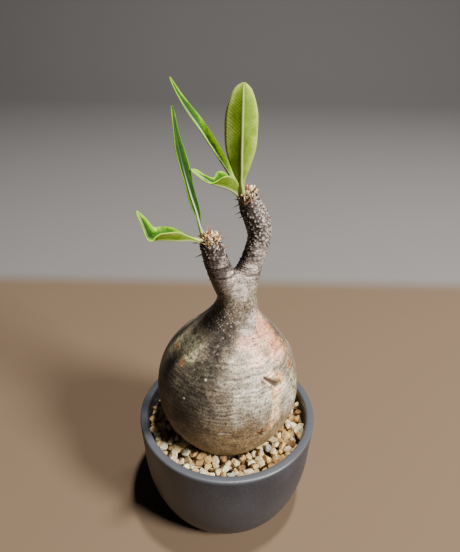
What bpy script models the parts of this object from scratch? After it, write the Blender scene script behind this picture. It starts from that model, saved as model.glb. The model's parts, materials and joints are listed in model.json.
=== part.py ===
# A flask-bodied caudex plant with two spiny arms and five leaves, growing in a round ceramic pot.
# Metres, +Z up. The origin is the middle of the pot's foot, on the surface that it stands on.
import math
import random

import bmesh
import bpy
from mathutils import Matrix, Vector
from mathutils.bvhtree import BVHTree

MM = 0.001
GAP = 0.0003

# Pot: a short straight wall that turns into a bowl with a flat foot and one drain hole
POT_HEIGHT = 0.052
POT_RADIUS = 0.040
POT_TAPER = 0.0008
POT_STRAIGHT_DEPTH = 0.016
POT_WALL = 0.0036
POT_FOOT_RADIUS = 0.024
POT_FLOOR = 0.005
POT_FLOOR_RADIUS = 0.020
POT_RIM_ROUNDING = 0.0008
DRAIN_RADIUS = 0.006
POT_STEPS = 48

# Fill: soil up to SOIL_TOP, and on it a bed of gravel with grains that stand out of it
SOIL_TOP = 0.041
GRAVEL_BED_TOP = 0.0438
GRAIN_RADIUS = (0.0018, 0.0026)
GRAIN_STRETCH = (0.8, 1.25)
GRAIN_TRIES = 9000
GRAIN_RISE = (0.1, 0.4)
GRAIN_SPACING = 0.88
GRAIN_CLEARANCE = 0.0005
FILL_STEPS = 36

# Caudex: radius and height of its outline in millimetres, from the root's tip to the neck
CAUDEX_OUTLINE = [
    (0.0, 17.0), (2.6, 18.6), (4.6, 23.0), (7.0, 28.5), (10.2, 33.0), (14.1, 37.0), (18.0, 41.0),
    (20.8, 44.5), (24.7, 50.0), (28.4, 57.0), (30.3, 64.0), (30.8, 70.0), (30.3, 76.0),
    (28.9, 81.5), (26.6, 86.5), (23.5, 91.0), (19.7, 95.3), (15.8, 99.5), (12.4, 103.4),
    (9.9, 107.2), (8.4, 111.0), (7.6, 115.0), (6.4, 119.0), (4.7, 122.8), (2.6, 125.6), (0.0, 126.6)]
CAUDEX_STEPS = 32
LEAN_START = 0.072
LEAN_END = 0.112
LEAN_RATE = 1.94

# Arms: x, y, z and radius in millimetres along each one's middle, from inside the neck to the tip
RIGHT_ARM = [
    (3.8, 0.8, 113.1, 6.5), (4.7, 0.8, 116.6, 6.5), (6.0, 1.0, 120.5, 5.7), (7.5, 1.5, 125.3, 5.0),
    (8.9, 2.1, 130.0, 4.5), (10.2, 2.8, 134.2, 4.3), (11.0, 3.5, 138.2, 4.4),
    (10.9, 4.0, 141.5, 4.6), (10.1, 4.5, 144.8, 4.7), (8.6, 4.7, 148.3, 4.6),
    (7.2, 4.8, 151.8, 4.2), (6.4, 4.8, 154.2, 3.7), (6.0, 4.8, 155.7, 2.8), (5.8, 4.8, 156.6, 1.2)]
LEFT_ARM = [
    (2.4, 0.3, 113.4, 6.4), (0.9, -0.5, 117.2, 6.1), (-1.3, -2.0, 121.7, 5.4),
    (-3.3, -3.5, 127.0, 4.9), (-4.9, -5.0, 132.2, 4.6), (-6.0, -6.0, 136.5, 4.4),
    (-6.8, -6.8, 139.7, 4.0), (-7.2, -7.3, 142.0, 3.5), (-7.4, -7.5, 143.5, 2.6),
    (-7.5, -7.5, 144.3, 1.1)]
ARM_RESOLUTION = 5

# Spines: a golden-angle spiral up each arm, short worn stubs low down and full spines above
GOLDEN_ANGLE = math.radians(137.508)
SPINES_PER_ARM = 84
SPINE_CROWDING = 0.85
SPINE_BASE_RADIUS = 0.00048
SPINE_SINK = 0.0007
SPINE_LEAN = (0.25, 0.7)
STUB_LENGTH = (0.0009, 0.0015)
SPINE_LENGTH = (0.0022, 0.0040)
FULL_SPINES_FROM = 0.45
CROWN_SPINES = 9
CROWN_SPREAD = (0.25, 0.75)
CROWN_REACH = 0.004
CROWN_LENGTH = (0.0026, 0.0040)
LEAF_CLEARANCE = 0.0007

# Leaves: x, y, z and half width in millimetres along each midrib, from the base to the tip.
# facing gives the way that the upper side looks, and fold how far the halves rise from flat,
# in degrees, each at the base and at the tip.
LEAF_THICKNESS = 0.0007
PETIOLE_LIFT = 0.0007
LEAF_ACROSS = 4
MARGIN_EASE = 0.15
LEAF_SPANS = 2
LEAVES = {
    "leaf_right_upright": {
        "ribs": [(4.3, 2.6, 155.9, 0.6), (3.7, 0.9, 161.0, 1.3), (3.6, -0.6, 165.3, 3.1),
                 (3.5, -1.8, 169.9, 4.7), (3.5, -2.5, 174.5, 5.6), (3.5, -3.0, 179.5, 5.8),
                 (3.5, -3.0, 184.9, 5.5), (3.5, -2.6, 189.7, 4.2), (3.5, -2.0, 192.8, 2.7),
                 (3.5, -1.6, 194.4, 0.9)],
        "facing": ((0.0, 1.0, 0.1), (0.0, 1.0, 0.2)),
        "fold": (20.0, 20.0)},
    "leaf_right_long": {
        "ribs": [(4.0, 6.5, 155.7, 0.6), (0.8, 5.6, 160.3, 1.2), (-2.5, 4.8, 165.7, 2.3),
                 (-6.7, 3.8, 172.4, 3.4), (-10.9, 2.8, 179.1, 3.6), (-14.8, 1.8, 185.1, 3.1),
                 (-17.8, 1.1, 190.5, 1.9), (-19.8, 0.7, 195.4, 0.4)],
        "facing": ((0.85, -0.17, 0.51), (0.89, -0.19, 0.42)),
        "fold": (19.0, 15.0)},
    "leaf_right_small": {
        "ribs": [(2.9, 3.9, 155.0, 0.6), (0.3, 0.9, 158.0, 1.2), (-3.0, -2.0, 160.5, 3.4),
                 (-6.9, -5.0, 163.0, 2.9), (-10.0, -7.0, 165.6, 1.8), (-13.1, -8.5, 168.3, 0.4)],
        "facing": ((0.3, 0.2, 1.0), (0.5, -0.3, 0.8)),
        "fold": (62.0, 40.0)},
    "leaf_left_upright": {
        "ribs": [(-9.7, -6.2, 143.4, 0.6), (-10.7, -7.0, 147.6, 1.0), (-11.7, -8.0, 152.9, 2.0),
                 (-13.5, -9.0, 159.8, 3.1), (-15.3, -10.0, 168.1, 3.4), (-16.8, -10.5, 176.0, 2.9),
                 (-17.8, -10.5, 183.1, 1.8), (-18.2, -10.2, 188.7, 0.4)],
        "facing": ((0.97, -0.17, 0.17), (0.97, -0.2, 0.11)),
        "fold": (12.0, 6.0)},
    "leaf_left_folded": {
        "ribs": [(-9.8, -9.2, 142.9, 0.6), (-13.6, -11.0, 144.1, 1.2), (-18.5, -13.0, 144.8, 4.3),
                 (-22.7, -15.0, 146.5, 5.0), (-25.4, -16.5, 147.7, 4.4), (-27.2, -17.4, 150.2, 3.2),
                 (-28.5, -17.9, 153.9, 2.0), (-30.0, -18.0, 157.6, 0.4)],
        "facing": ((0.0, 0.15, 1.0), (0.5, -0.5, 0.7)),
        "fold": (64.0, 45.0)},
}

# Colours in linear values, with roughness
FINISHES = {
    "pot": ((0.060, 0.060, 0.066), 0.42),
    "soil": ((0.070, 0.048, 0.030), 0.95),
    "gravel": ((0.520, 0.400, 0.230), 0.85),
    "caudex": ((0.300, 0.255, 0.190), 0.75),
    "leaf": ((0.130, 0.290, 0.045), 0.42),
}


def clear_scene():
    for item in list(bpy.data.objects):
        bpy.data.objects.remove(item, do_unlink=True)


def make_material(name, finish):
    colour, roughness = FINISHES[finish]
    material = bpy.data.materials.new(name)
    material.use_nodes = True
    shader = material.node_tree.nodes["Principled BSDF"]
    shader.inputs["Base Color"].default_value = (*colour, 1.0)
    shader.inputs["Roughness"].default_value = roughness
    shader.inputs["Metallic"].default_value = 0.0
    return material


def mesh_from(bm, name):
    mesh = bpy.data.meshes.new(name)
    bm.to_mesh(mesh)
    bm.free()
    return mesh


def add_object(name, mesh):
    item = bpy.data.objects.new(name, mesh)
    bpy.context.scene.collection.objects.link(item)
    return item


def finish_object(item, finish, sharp_angle):
    item.data.materials.clear()
    item.data.materials.append(make_material(item.name, finish))
    item.data.shade_smooth()
    item.data.set_sharp_from_angle(angle=math.radians(sharp_angle))


def turned_mesh(name, outline, steps, closed):
    # outline is a list of (radius, height); a closed one goes right round a ring's section
    bm = bmesh.new()
    verts = [bm.verts.new((radius, 0.0, height)) for radius, height in outline]
    edges = [bm.edges.new(pair) for pair in zip(verts, verts[1:])]
    if closed:
        edges.append(bm.edges.new((verts[-1], verts[0])))
    bmesh.ops.spin(bm, geom=verts + edges, cent=(0, 0, 0), axis=(0, 0, 1),
                   angle=2 * math.pi, steps=steps, use_merge=True)
    bmesh.ops.remove_doubles(bm, verts=bm.verts, dist=1e-6)
    bmesh.ops.recalc_face_normals(bm, faces=bm.faces)
    return mesh_from(bm, name)


def value_at(outline, height):
    # Radius of an outline, in metres, at a height, straight between its points
    for (r0, z0), (r1, z1) in zip(outline, outline[1:]):
        if z0 <= height <= z1:
            return r0 + (r1 - r0) * (height - z0) / (z1 - z0)
    return outline[-1][0]


def bowl_side(top_radius, straight_bottom, foot_radius, foot_height, steps):
    # A quarter of an ellipse from the foot up to where the wall is straight
    points = []
    for index in range(steps + 1):
        angle = math.pi / 2 * (1 - index / steps)
        points.append((foot_radius + (top_radius - foot_radius) * math.cos(angle),
                       straight_bottom - (straight_bottom - foot_height) * math.sin(angle)))
    return points


def pot_inside(clearance):
    # The pot's inner side from the floor's edge to the rim, drawn in by a clearance
    straight_bottom = POT_HEIGHT - POT_STRAIGHT_DEPTH
    rim = POT_RADIUS - POT_WALL - clearance
    side = bowl_side(rim - POT_TAPER, straight_bottom, POT_FLOOR_RADIUS - clearance,
                     POT_FLOOR + clearance, 7)
    return side + [(rim, POT_HEIGHT)]


def build_pot():
    straight_bottom = POT_HEIGHT - POT_STRAIGHT_DEPTH
    outside = bowl_side(POT_RADIUS - POT_TAPER, straight_bottom, POT_FOOT_RADIUS, 0.0, 8)
    inside = pot_inside(0.0)[:-1]
    rounding = POT_RIM_ROUNDING
    inner_rim = POT_RADIUS - POT_WALL
    rim = [(POT_RADIUS, POT_HEIGHT - rounding),
           (POT_RADIUS - 0.3 * rounding, POT_HEIGHT - 0.3 * rounding),
           (POT_RADIUS - rounding, POT_HEIGHT),
           (inner_rim + rounding, POT_HEIGHT),
           (inner_rim + 0.3 * rounding, POT_HEIGHT - 0.3 * rounding),
           (inner_rim, POT_HEIGHT - rounding)]
    drain = [(DRAIN_RADIUS, POT_FLOOR), (DRAIN_RADIUS, 0.0)]
    mesh = turned_mesh("pot", outside + rim + inside[::-1] + drain, POT_STEPS, True)
    finish_object(add_object("pot", mesh), "pot", 40)


def caudex_outline(clearance):
    # The root's tip is moved down by the clearance, and every other point out from the axis
    points = [(r * MM + (clearance if r else 0.0), z * MM) for r, z in CAUDEX_OUTLINE]
    points[0] = (0.0, points[0][1] - clearance)
    return points


def build_soil():
    outer = [point for point in pot_inside(GAP) if point[1] < SOIL_TOP]
    outer.append((value_at(pot_inside(GAP), SOIL_TOP), SOIL_TOP))
    hole_outline = caudex_outline(GAP)
    hole = [point for point in hole_outline if point[1] < SOIL_TOP - GAP]
    hole.append((value_at(hole_outline, SOIL_TOP), SOIL_TOP))
    section = [(0.0, POT_FLOOR + GAP)] + outer + hole[::-1]
    mesh = turned_mesh("soil", section, FILL_STEPS, False)
    finish_object(add_object("soil", mesh), "soil", 40)


def largest_island(bm):
    # Only the biggest connected shell stays, so that no scrap or sealed hollow is left
    left = set(bm.faces)
    islands = []
    while left:
        found = [left.pop()]
        for face in found:
            for edge in face.edges:
                for other in edge.link_faces:
                    if other in left:
                        left.remove(other)
                        found.append(other)
        islands.append(found)
    islands.sort(key=len)
    loose = [face for island in islands[:-1] for face in island]
    bmesh.ops.delete(bm, geom=loose, context='FACES')
    bmesh.ops.delete(bm, geom=[v for v in bm.verts if not v.link_faces], context='VERTS')


def fuse(target, pieces):
    # One union of the target with every piece, applied, with the pieces then removed
    group = bpy.data.collections.new(target.name + "_pieces")
    bpy.context.scene.collection.children.link(group)
    for piece in pieces:
        group.objects.link(piece)
    union = target.modifiers.new("union", 'BOOLEAN')
    union.operation = 'UNION'
    union.operand_type = 'COLLECTION'
    union.solver = 'MANIFOLD'
    union.collection = group
    graph = bpy.context.evaluated_depsgraph_get()
    graph.update()
    joined = bpy.data.meshes.new_from_object(target.evaluated_get(graph))
    target.modifiers.clear()
    bm = bmesh.new()
    bm.from_mesh(joined)
    bmesh.ops.triangulate(bm, faces=bm.faces)
    largest_island(bm)
    target.data = mesh_from(bm, target.name)
    for piece in pieces:
        bpy.data.objects.remove(piece, do_unlink=True)
    bpy.data.collections.remove(group)


def height_over(surface, point):
    # How far a point stands out of a surface, which is negative inside it
    hit, normal, _, _ = surface.find_nearest(point)
    return (point - hit).dot(normal)


def grain_mesh(rng, radius, centre):
    bm = bmesh.new()
    bmesh.ops.create_icosphere(bm, subdivisions=1, radius=radius)
    stretch = Matrix.Diagonal([rng.uniform(*GRAIN_STRETCH) for _ in range(3)]).to_4x4()
    turn = Matrix.Rotation(rng.uniform(0, 2 * math.pi), 4, Vector((rng.random(), 1, rng.random())))
    bmesh.ops.transform(bm, matrix=Matrix.Translation(centre) @ turn @ stretch, verts=bm.verts)
    return mesh_from(bm, "grain")


def build_gravel(belly):
    # The bed is a ring between the plant and the pot, and the grains lie close together on it
    rng = random.Random(11)
    wall = pot_inside(GAP)
    hole = caudex_outline(GAP)
    bed_bottom = SOIL_TOP + GAP
    outer_radius = value_at(wall, GRAVEL_BED_TOP)
    section = [(value_at(hole, bed_bottom), bed_bottom), (value_at(wall, bed_bottom), bed_bottom),
               (outer_radius, GRAVEL_BED_TOP), (value_at(hole, GRAVEL_BED_TOP), GRAVEL_BED_TOP)]
    bed = add_object("gravel", turned_mesh("gravel", section, FILL_STEPS, True))
    inner_radius = value_at(hole, GRAVEL_BED_TOP)
    placed = []
    grains = []
    for _ in range(GRAIN_TRIES):
        radius = rng.uniform(*GRAIN_RADIUS)
        distance = math.sqrt(rng.uniform(inner_radius ** 2, outer_radius ** 2))
        angle = rng.uniform(0, 2 * math.pi)
        height = GRAVEL_BED_TOP + rng.uniform(*GRAIN_RISE) * radius
        centre = Vector((distance * math.cos(angle), distance * math.sin(angle), height))
        if any((centre - other).length < GRAIN_SPACING * (radius + size) for other, size in placed):
            continue
        mesh = grain_mesh(rng, radius, centre)
        corners = [vert.co for vert in mesh.vertices]
        clear_of_pot = max(corner.xy.length for corner in corners) < outer_radius
        if clear_of_pot and min(height_over(belly, item) for item in corners) > GRAIN_CLEARANCE:
            placed.append((centre, radius))
            grains.append(bpy.data.objects.new("grain", mesh))
    fuse(bed, grains)
    finish_object(bed, "gravel", 25)


def arm_object(name, stations):
    curve = bpy.data.curves.new(name, 'CURVE')
    curve.dimensions = '3D'
    curve.bevel_depth = 1.0
    curve.bevel_resolution = ARM_RESOLUTION
    curve.use_fill_caps = True
    spline = curve.splines.new('POLY')
    spline.points.add(len(stations) - 1)
    for point, (x, y, z, radius) in zip(spline.points, stations):
        point.co = (x * MM, y * MM, z * MM, 1.0)
        point.radius = radius * MM
    maker = add_object(name + "_curve", curve)
    graph = bpy.context.evaluated_depsgraph_get()
    graph.update()
    mesh = bpy.data.meshes.new_from_object(maker.evaluated_get(graph))
    bpy.data.objects.remove(maker, do_unlink=True)
    bm = bmesh.new()
    bm.from_mesh(mesh)
    bmesh.ops.remove_doubles(bm, verts=bm.verts, dist=1e-6)
    bmesh.ops.recalc_face_normals(bm, faces=bm.faces)
    return bpy.data.objects.new(name, mesh_from(bm, name))


def build_body():
    # Root, caudex and neck are turned, the neck is leant to the right, and the arms are fused on
    body = add_object("caudex", turned_mesh("caudex", caudex_outline(0.0), CAUDEX_STEPS, False))
    for vert in body.data.vertices:
        rise = max(0.0, min(vert.co.z, LEAN_END) - LEAN_START)
        vert.co.x += LEAN_RATE * rise * rise
    fuse(body, [arm_object("arm_right", RIGHT_ARM), arm_object("arm_left", LEFT_ARM)])
    return body


def surface_tree(item):
    bm = bmesh.new()
    bm.from_mesh(item.data)
    tree = BVHTree.FromBMesh(bm)
    bm.free()
    return tree


def smooth_stations(stations, spans):
    # A Catmull-Rom curve through the stations, each value eased alike
    ends = [stations[0]] + list(stations) + [stations[-1]]
    result = []
    for index in range(len(stations) - 1):
        before, start, stop, after = [Vector(item) for item in ends[index:index + 4]]
        for part in range(spans):
            t = part / spans
            result.append(0.5 * (2 * start + (stop - before) * t
                                 + (2 * before - 5 * start + 4 * stop - after) * t ** 2
                                 + (3 * start - before - 3 * stop + after) * t ** 3))
    result.append(Vector(stations[-1]))
    return result


def seat_on(surface, point):
    # The place just off the surface, nearest to the point, where a petiole ends
    hit, normal, _, _ = surface.find_nearest(point)
    return hit + normal * PETIOLE_LIFT


def build_leaf(name, surface):
    # A folded blade: a grid bent round its midrib, split into triangles, then given a thickness
    shape = LEAVES[name]
    ribs = [Vector(item) * MM for item in shape["ribs"]]
    ribs[0] = Vector((*seat_on(surface, ribs[0].xyz), ribs[0].w))
    stations = smooth_stations(ribs, LEAF_SPANS)
    last = len(stations) - 1
    first_fold, last_fold = [math.radians(item) for item in shape["fold"]]
    first_facing, last_facing = [Vector(item) for item in shape["facing"]]
    bm = bmesh.new()
    bmesh.ops.create_grid(bm, x_segments=LEAF_ACROSS, y_segments=last, size=0.5)
    for vert in bm.verts:
        index = round((vert.co.y + 0.5) * last)
        across = 2 * vert.co.x
        here = stations[index]
        along = (stations[min(index + 1, last)].xyz - stations[max(index - 1, 0)].xyz).normalized()
        facing = first_facing.lerp(last_facing, index / last)
        up = (facing - along * facing.dot(along)).normalized()
        side = along.cross(up)
        fold = first_fold + (last_fold - first_fold) * index / last
        lift = fold * (1.0 - MARGIN_EASE * abs(across))
        reach = here.w * across
        vert.co = here.xyz + side * reach * math.cos(lift) + up * abs(reach) * math.sin(lift)
    bmesh.ops.triangulate(bm, faces=bm.faces)
    bmesh.ops.recalc_face_normals(bm, faces=bm.faces)
    leaf = add_object(name, mesh_from(bm, name))
    thick = leaf.modifiers.new("thickness", 'SOLIDIFY')
    thick.thickness = LEAF_THICKNESS
    thick.offset = 0.0
    thick.use_even_offset = True
    graph = bpy.context.evaluated_depsgraph_get()
    graph.update()
    solid = bpy.data.meshes.new_from_object(leaf.evaluated_get(graph))
    leaf.modifiers.clear()
    leaf.data = solid
    finish_object(leaf, "leaf", 50)
    return leaf


def spine_object(root, heading, length):
    bm = bmesh.new()
    whole = length + SPINE_SINK
    bmesh.ops.create_cone(bm, cap_ends=True, segments=3, radius1=SPINE_BASE_RADIUS, radius2=0.0,
                          depth=whole)
    turn = Vector((0, 0, 1)).rotation_difference(heading).to_matrix().to_4x4()
    middle = root + heading * (whole / 2 - SPINE_SINK)
    bmesh.ops.transform(bm, matrix=Matrix.Translation(middle) @ turn, verts=bm.verts)
    bmesh.ops.remove_doubles(bm, verts=bm.verts, dist=1e-6)
    bmesh.ops.recalc_face_normals(bm, faces=bm.faces)
    return bpy.data.objects.new("spine", mesh_from(bm, "spine"))


def clear_of_leaves(root, heading, length, leaves):
    for step in range(5):
        point = root + heading * length * step / 4
        for tree in leaves:
            if tree.find_nearest(point)[3] < LEAF_CLEARANCE:
                return False
    return True


def arm_spines(stations, surface, leaves, rng):
    # From just above the fork to the tip; low down only every fourth one is a full spine
    path = smooth_stations([Vector(item) * MM for item in stations[2:]], 4)
    last = len(path) - 2
    spines = []
    for number in range(SPINES_PER_ARM):
        share = ((number + 0.5) / SPINES_PER_ARM) ** SPINE_CROWDING
        place = share * last
        index = int(place)
        middle = path[index].lerp(path[index + 1], place - index)
        along = (path[index + 1].xyz - path[index].xyz).normalized()
        across = along.orthogonal().normalized()
        out = Matrix.Rotation(number * GOLDEN_ANGLE, 3, along) @ across
        hit, normal, _, _ = surface.ray_cast(middle.xyz + out * 4 * middle.w, -out)
        if hit is None or (hit - middle.xyz).length > 1.5 * middle.w:
            continue
        full = share > FULL_SPINES_FROM or number % 4 == 0
        length = rng.uniform(*SPINE_LENGTH) if full else rng.uniform(*STUB_LENGTH)
        heading = (normal + along * rng.uniform(*SPINE_LEAN)).normalized()
        if clear_of_leaves(hit, heading, length, leaves):
            spines.append(spine_object(hit, heading, length))
    tip = path[-1].xyz
    along = (path[-1].xyz - path[-4].xyz).normalized()
    for number in range(CROWN_SPINES):
        out = Matrix.Rotation(number * GOLDEN_ANGLE, 3, along) @ along.orthogonal().normalized()
        heading = (along + out * rng.uniform(*CROWN_SPREAD)).normalized()
        start = tip + heading * CROWN_REACH
        hit = surface.ray_cast(start, -heading)[0]
        length = rng.uniform(*CROWN_LENGTH)
        if hit is not None and clear_of_leaves(hit, heading, length, leaves):
            spines.append(spine_object(hit, heading, length))
    return spines


def build_plant():
    body = build_body()
    surface = surface_tree(body)
    leaves = []
    for name in LEAVES:
        leaves.append(build_leaf(name, surface))
    trees = [surface_tree(leaf) for leaf in leaves]
    rng = random.Random(5)
    spines = arm_spines(RIGHT_ARM, surface, trees, rng) + arm_spines(LEFT_ARM, surface, trees, rng)
    fuse(body, spines)
    finish_object(body, "caudex", 40)
    return surface


clear_scene()
build_pot()
build_soil()
build_gravel(build_plant())
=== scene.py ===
# A flask-bodied caudex plant with two spiny arms and five leaves, in a round dark pot with gravel.
import json
import math
import random

import bmesh
import bpy
from mathutils import Matrix, Vector, noise
from mathutils.bvhtree import BVHTree
from mathutils.kdtree import KDTree

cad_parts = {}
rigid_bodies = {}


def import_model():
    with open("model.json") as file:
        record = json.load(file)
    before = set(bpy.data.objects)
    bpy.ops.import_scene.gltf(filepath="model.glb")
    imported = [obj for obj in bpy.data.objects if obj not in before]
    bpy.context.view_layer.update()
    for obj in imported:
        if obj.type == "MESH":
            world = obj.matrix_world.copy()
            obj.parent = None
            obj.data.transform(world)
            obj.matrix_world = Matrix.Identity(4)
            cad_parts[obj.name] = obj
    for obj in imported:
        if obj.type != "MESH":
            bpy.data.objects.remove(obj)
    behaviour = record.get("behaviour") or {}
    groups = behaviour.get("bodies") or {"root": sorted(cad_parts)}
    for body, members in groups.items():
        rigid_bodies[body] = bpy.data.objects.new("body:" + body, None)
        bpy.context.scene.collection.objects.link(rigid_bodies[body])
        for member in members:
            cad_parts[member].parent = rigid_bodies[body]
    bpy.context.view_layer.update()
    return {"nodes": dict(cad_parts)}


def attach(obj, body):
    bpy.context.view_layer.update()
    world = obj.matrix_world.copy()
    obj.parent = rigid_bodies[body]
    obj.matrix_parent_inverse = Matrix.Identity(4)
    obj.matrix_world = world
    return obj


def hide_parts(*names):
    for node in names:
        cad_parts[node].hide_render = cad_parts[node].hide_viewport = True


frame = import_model()
mm = 0.001
tiny = 1e-6
goldenTurn = math.radians(137.508)
print("frame loaded:", ", ".join(sorted(frame["nodes"])))


def addObject(name, mesh):
    item = bpy.data.objects.new(name, mesh)
    bpy.context.scene.collection.objects.link(item)
    return item


def meshFrom(bm, name):
    mesh = bpy.data.meshes.new(name)
    bm.to_mesh(mesh)
    bm.free()
    return mesh


def finishPiece(item, material, node, sharpAngle=None):
    # smooth shading, a material, and the CAD node that the piece stands for
    item.data.shade_smooth()
    if sharpAngle is not None:
        item.data.set_sharp_from_angle(angle=math.radians(sharpAngle))
    item.data.materials.append(material)
    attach(item, "root")
    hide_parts(node)


def floatAttribute(mesh, name, values):
    attribute = mesh.attributes.new(name, 'FLOAT', 'POINT')
    attribute.data.foreach_set("value", values)


def evaluatedMesh(item):
    graph = bpy.context.evaluated_depsgraph_get()
    graph.update()
    return bpy.data.meshes.new_from_object(item.evaluated_get(graph))


def smoothPath(stations, spans):
    # Catmull-Rom through the stations, whatever they hold
    ends = [stations[0]] + list(stations) + [stations[-1]]
    result = []
    for index in range(len(stations) - 1):
        before, start, stop, after = [Vector(item) for item in ends[index:index + 4]]
        for part in range(spans):
            t = part / spans
            result.append(0.5 * (2 * start + (stop - before) * t
                                 + (2 * before - 5 * start + 4 * stop - after) * t ** 2
                                 + (3 * start - before - 3 * stop + after) * t ** 3))
    result.append(Vector(stations[-1]))
    return result


def ease(low, high, value):
    share = max(0.0, min(1.0, (value - low) / (high - low)))
    return share * share * (3 - 2 * share)


def spinProfile(outline, steps, closed):
    bm = bmesh.new()
    verts = [bm.verts.new((radius, 0.0, height)) for radius, height in outline]
    edges = [bm.edges.new(pair) for pair in zip(verts, verts[1:])]
    if closed:
        edges.append(bm.edges.new((verts[-1], verts[0])))
    bmesh.ops.spin(bm, geom=verts + edges, cent=(0, 0, 0), axis=(0, 0, 1),
                   angle=2 * math.pi, steps=steps, use_merge=True)
    bmesh.ops.remove_doubles(bm, verts=bm.verts, dist=tiny)
    bmesh.ops.recalc_face_normals(bm, faces=bm.faces)
    return bm


def newMaterial(name, roughness=0.5, specular=0.5):
    material = bpy.data.materials.new(name)
    material.use_nodes = True
    shader = material.node_tree.nodes["Principled BSDF"]
    shader.inputs["Roughness"].default_value = roughness
    shader.inputs["Specular IOR Level"].default_value = specular
    return material, material.node_tree


def addNode(tree, kind, values=None, **settings):
    # each value is a constant or a socket to link
    node = tree.nodes.new(kind)
    for key, value in settings.items():
        setattr(node, key, value)
    for key, value in (values or {}).items():
        if isinstance(value, bpy.types.NodeSocket):
            tree.links.new(value, node.inputs[key])
        else:
            node.inputs[key].default_value = value
    return node


def objectCoordinates(tree, scale=(1, 1, 1)):
    source = addNode(tree, "ShaderNodeTexCoord")
    return addNode(tree, "ShaderNodeMapping",
                   {"Vector": source.outputs["Object"], "Scale": scale}).outputs["Vector"]


def splitAxes(tree, vector):
    return addNode(tree, "ShaderNodeSeparateXYZ", {0: vector}).outputs


def addNoise(tree, vector, scale, detail=3.0, roughness=0.55, distortion=0.0):
    return addNode(tree, "ShaderNodeTexNoise",
                   {"Vector": vector, "Scale": scale, "Detail": detail, "Roughness": roughness,
                    "Distortion": distortion}).outputs["Fac"]


def addRamp(tree, source, stops):
    # stops are (position, colour), and a plain number is a grey
    node = addNode(tree, "ShaderNodeValToRGB", {"Fac": source})
    ramp = node.color_ramp
    while len(ramp.elements) < len(stops):
        ramp.elements.new(0.5)
    for element, (position, colour) in zip(ramp.elements, stops):
        element.position = position
        grey = isinstance(colour, (int, float))
        element.color = (colour, colour, colour, 1) if grey else (*colour, 1)
    return node.outputs["Color"]


def addMath(tree, operation, first, second=0.5, clamp=False):
    return addNode(tree, "ShaderNodeMath", {0: first, 1: second}, operation=operation,
                   use_clamp=clamp).outputs[0]


def addHeightRamp(tree, height, stops, top=100):
    # stops are (height in mm, value), and lie below the top
    scaled = addMath(tree, 'MULTIPLY', height, 1 / (top * mm))
    return addRamp(tree, scaled, [(level / top, value) for level, value in stops])


def addMix(tree, factor, first, second, blend='MIX'):
    first, second = [item if isinstance(item, bpy.types.NodeSocket) else (*item, 1)
                     for item in (first, second)]
    return addNode(tree, "ShaderNodeMix", {0: factor, 6: first, 7: second}, data_type='RGBA',
                   blend_type=blend).outputs[2]


def addAttribute(tree, name):
    return addNode(tree, "ShaderNodeAttribute", attribute_name=name).outputs["Fac"]


def arrangeNodes(tree, ends):
    # every node stands one column left of what it feeds; ends are the last nodes of the tree
    columns = dict.fromkeys(tree.nodes, 0)
    others = [node for node in tree.nodes if node not in ends]
    for node in ends + others[::-1]:
        for socket in node.inputs:
            for link in socket.links:
                columns[link.from_node] = max(columns[link.from_node], columns[node] + 1)
    filled = {}
    for node, column in columns.items():
        node.location = (-220 * column, -280 * filled.get(column, 0))
        filled[column] = filled.get(column, 0) + 1


def finishMaterial(material, colour, height=None, bumpDepth=0.0, roughness=None):
    # colour, relief and gloss go to the shader, and the nodes are laid out
    tree = material.node_tree
    shader = tree.nodes["Principled BSDF"]
    tree.links.new(colour, shader.inputs["Base Color"])
    if roughness is not None:
        tree.links.new(roughness, shader.inputs["Roughness"])
    if height is not None:
        bump = addNode(tree, "ShaderNodeBump", {"Distance": bumpDepth, "Height": height})
        tree.links.new(bump.outputs["Normal"], shader.inputs["Normal"])
    arrangeNodes(tree, [tree.nodes["Material Output"], shader])
    return material


def makeSpeckleGroup():
    # small round dots of uneven strength: white where a dot is
    dotEdge = 9.0  # how sharply a dot ends
    group = bpy.data.node_groups.new("Speckle", "ShaderNodeTree")
    face = group.interface
    face.new_socket("Vector", in_out='INPUT', socket_type='NodeSocketVector')
    for name, value in (("Scale", 1000.0), ("Size", 0.3)):
        face.new_socket(name, in_out='INPUT', socket_type='NodeSocketFloat').default_value = value
    face.new_socket("Mask", in_out='OUTPUT', socket_type='NodeSocketFloat')
    given = addNode(group, "NodeGroupInput").outputs
    cells = addNode(group, "ShaderNodeTexVoronoi",
                    {"Vector": given["Vector"], "Scale": given["Scale"]})
    parts = addNode(group, "ShaderNodeSeparateColor", {"Color": cells.outputs["Color"]})
    reach = addMath(group, 'MULTIPLY', given["Size"], parts.outputs["Red"])
    inside = addMath(group, 'SUBTRACT', reach, cells.outputs["Distance"])
    mask = addMath(group, 'MULTIPLY', inside, dotEdge, clamp=True)
    arrangeNodes(group, [addNode(group, "NodeGroupOutput", {"Mask": mask})])
    return group


speckleGroup = makeSpeckleGroup()


def addSpeckle(tree, vector, scale, size):
    return addNode(tree, "ShaderNodeGroup", {"Vector": vector, "Scale": scale, "Size": size},
                   node_tree=speckleGroup).outputs["Mask"]


stageLook = {
    "cameraPlace": (0.000245, -0.16143, 0.21826),
    "cameraTilt": 30.47,          # degrees below level
    "cameraRoll": 0.95,
    "lens": 31.304,
    "nearColour": (0.13, 0.088, 0.055),
    "farColour": (0.155, 0.150, 0.147),
    "farFrom": 0.20,              # where the far colour takes over
    "blend": 0.01,
    "floorHalfWidth": 2.5,
    "wallDistance": 1.6,
    "wallHeight": 2.6,
    "sweepRadius": 0.6,
    "sweepSteps": 8,
    "lights": {  # place, size and power
        "ceiling": ((0.13, 0.0, 1.09), 0.07, 16.0),
        "side": ((0.80, -0.54, 0.84), 0.30, 41.5)},
    "lightColour": (1.0, 0.97, 0.93),
    "lightTarget": (0, 0, 0.09),
    "worldColour": (0.78, 0.86, 1.0),
    "worldStrength": 0.035,
}


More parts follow.
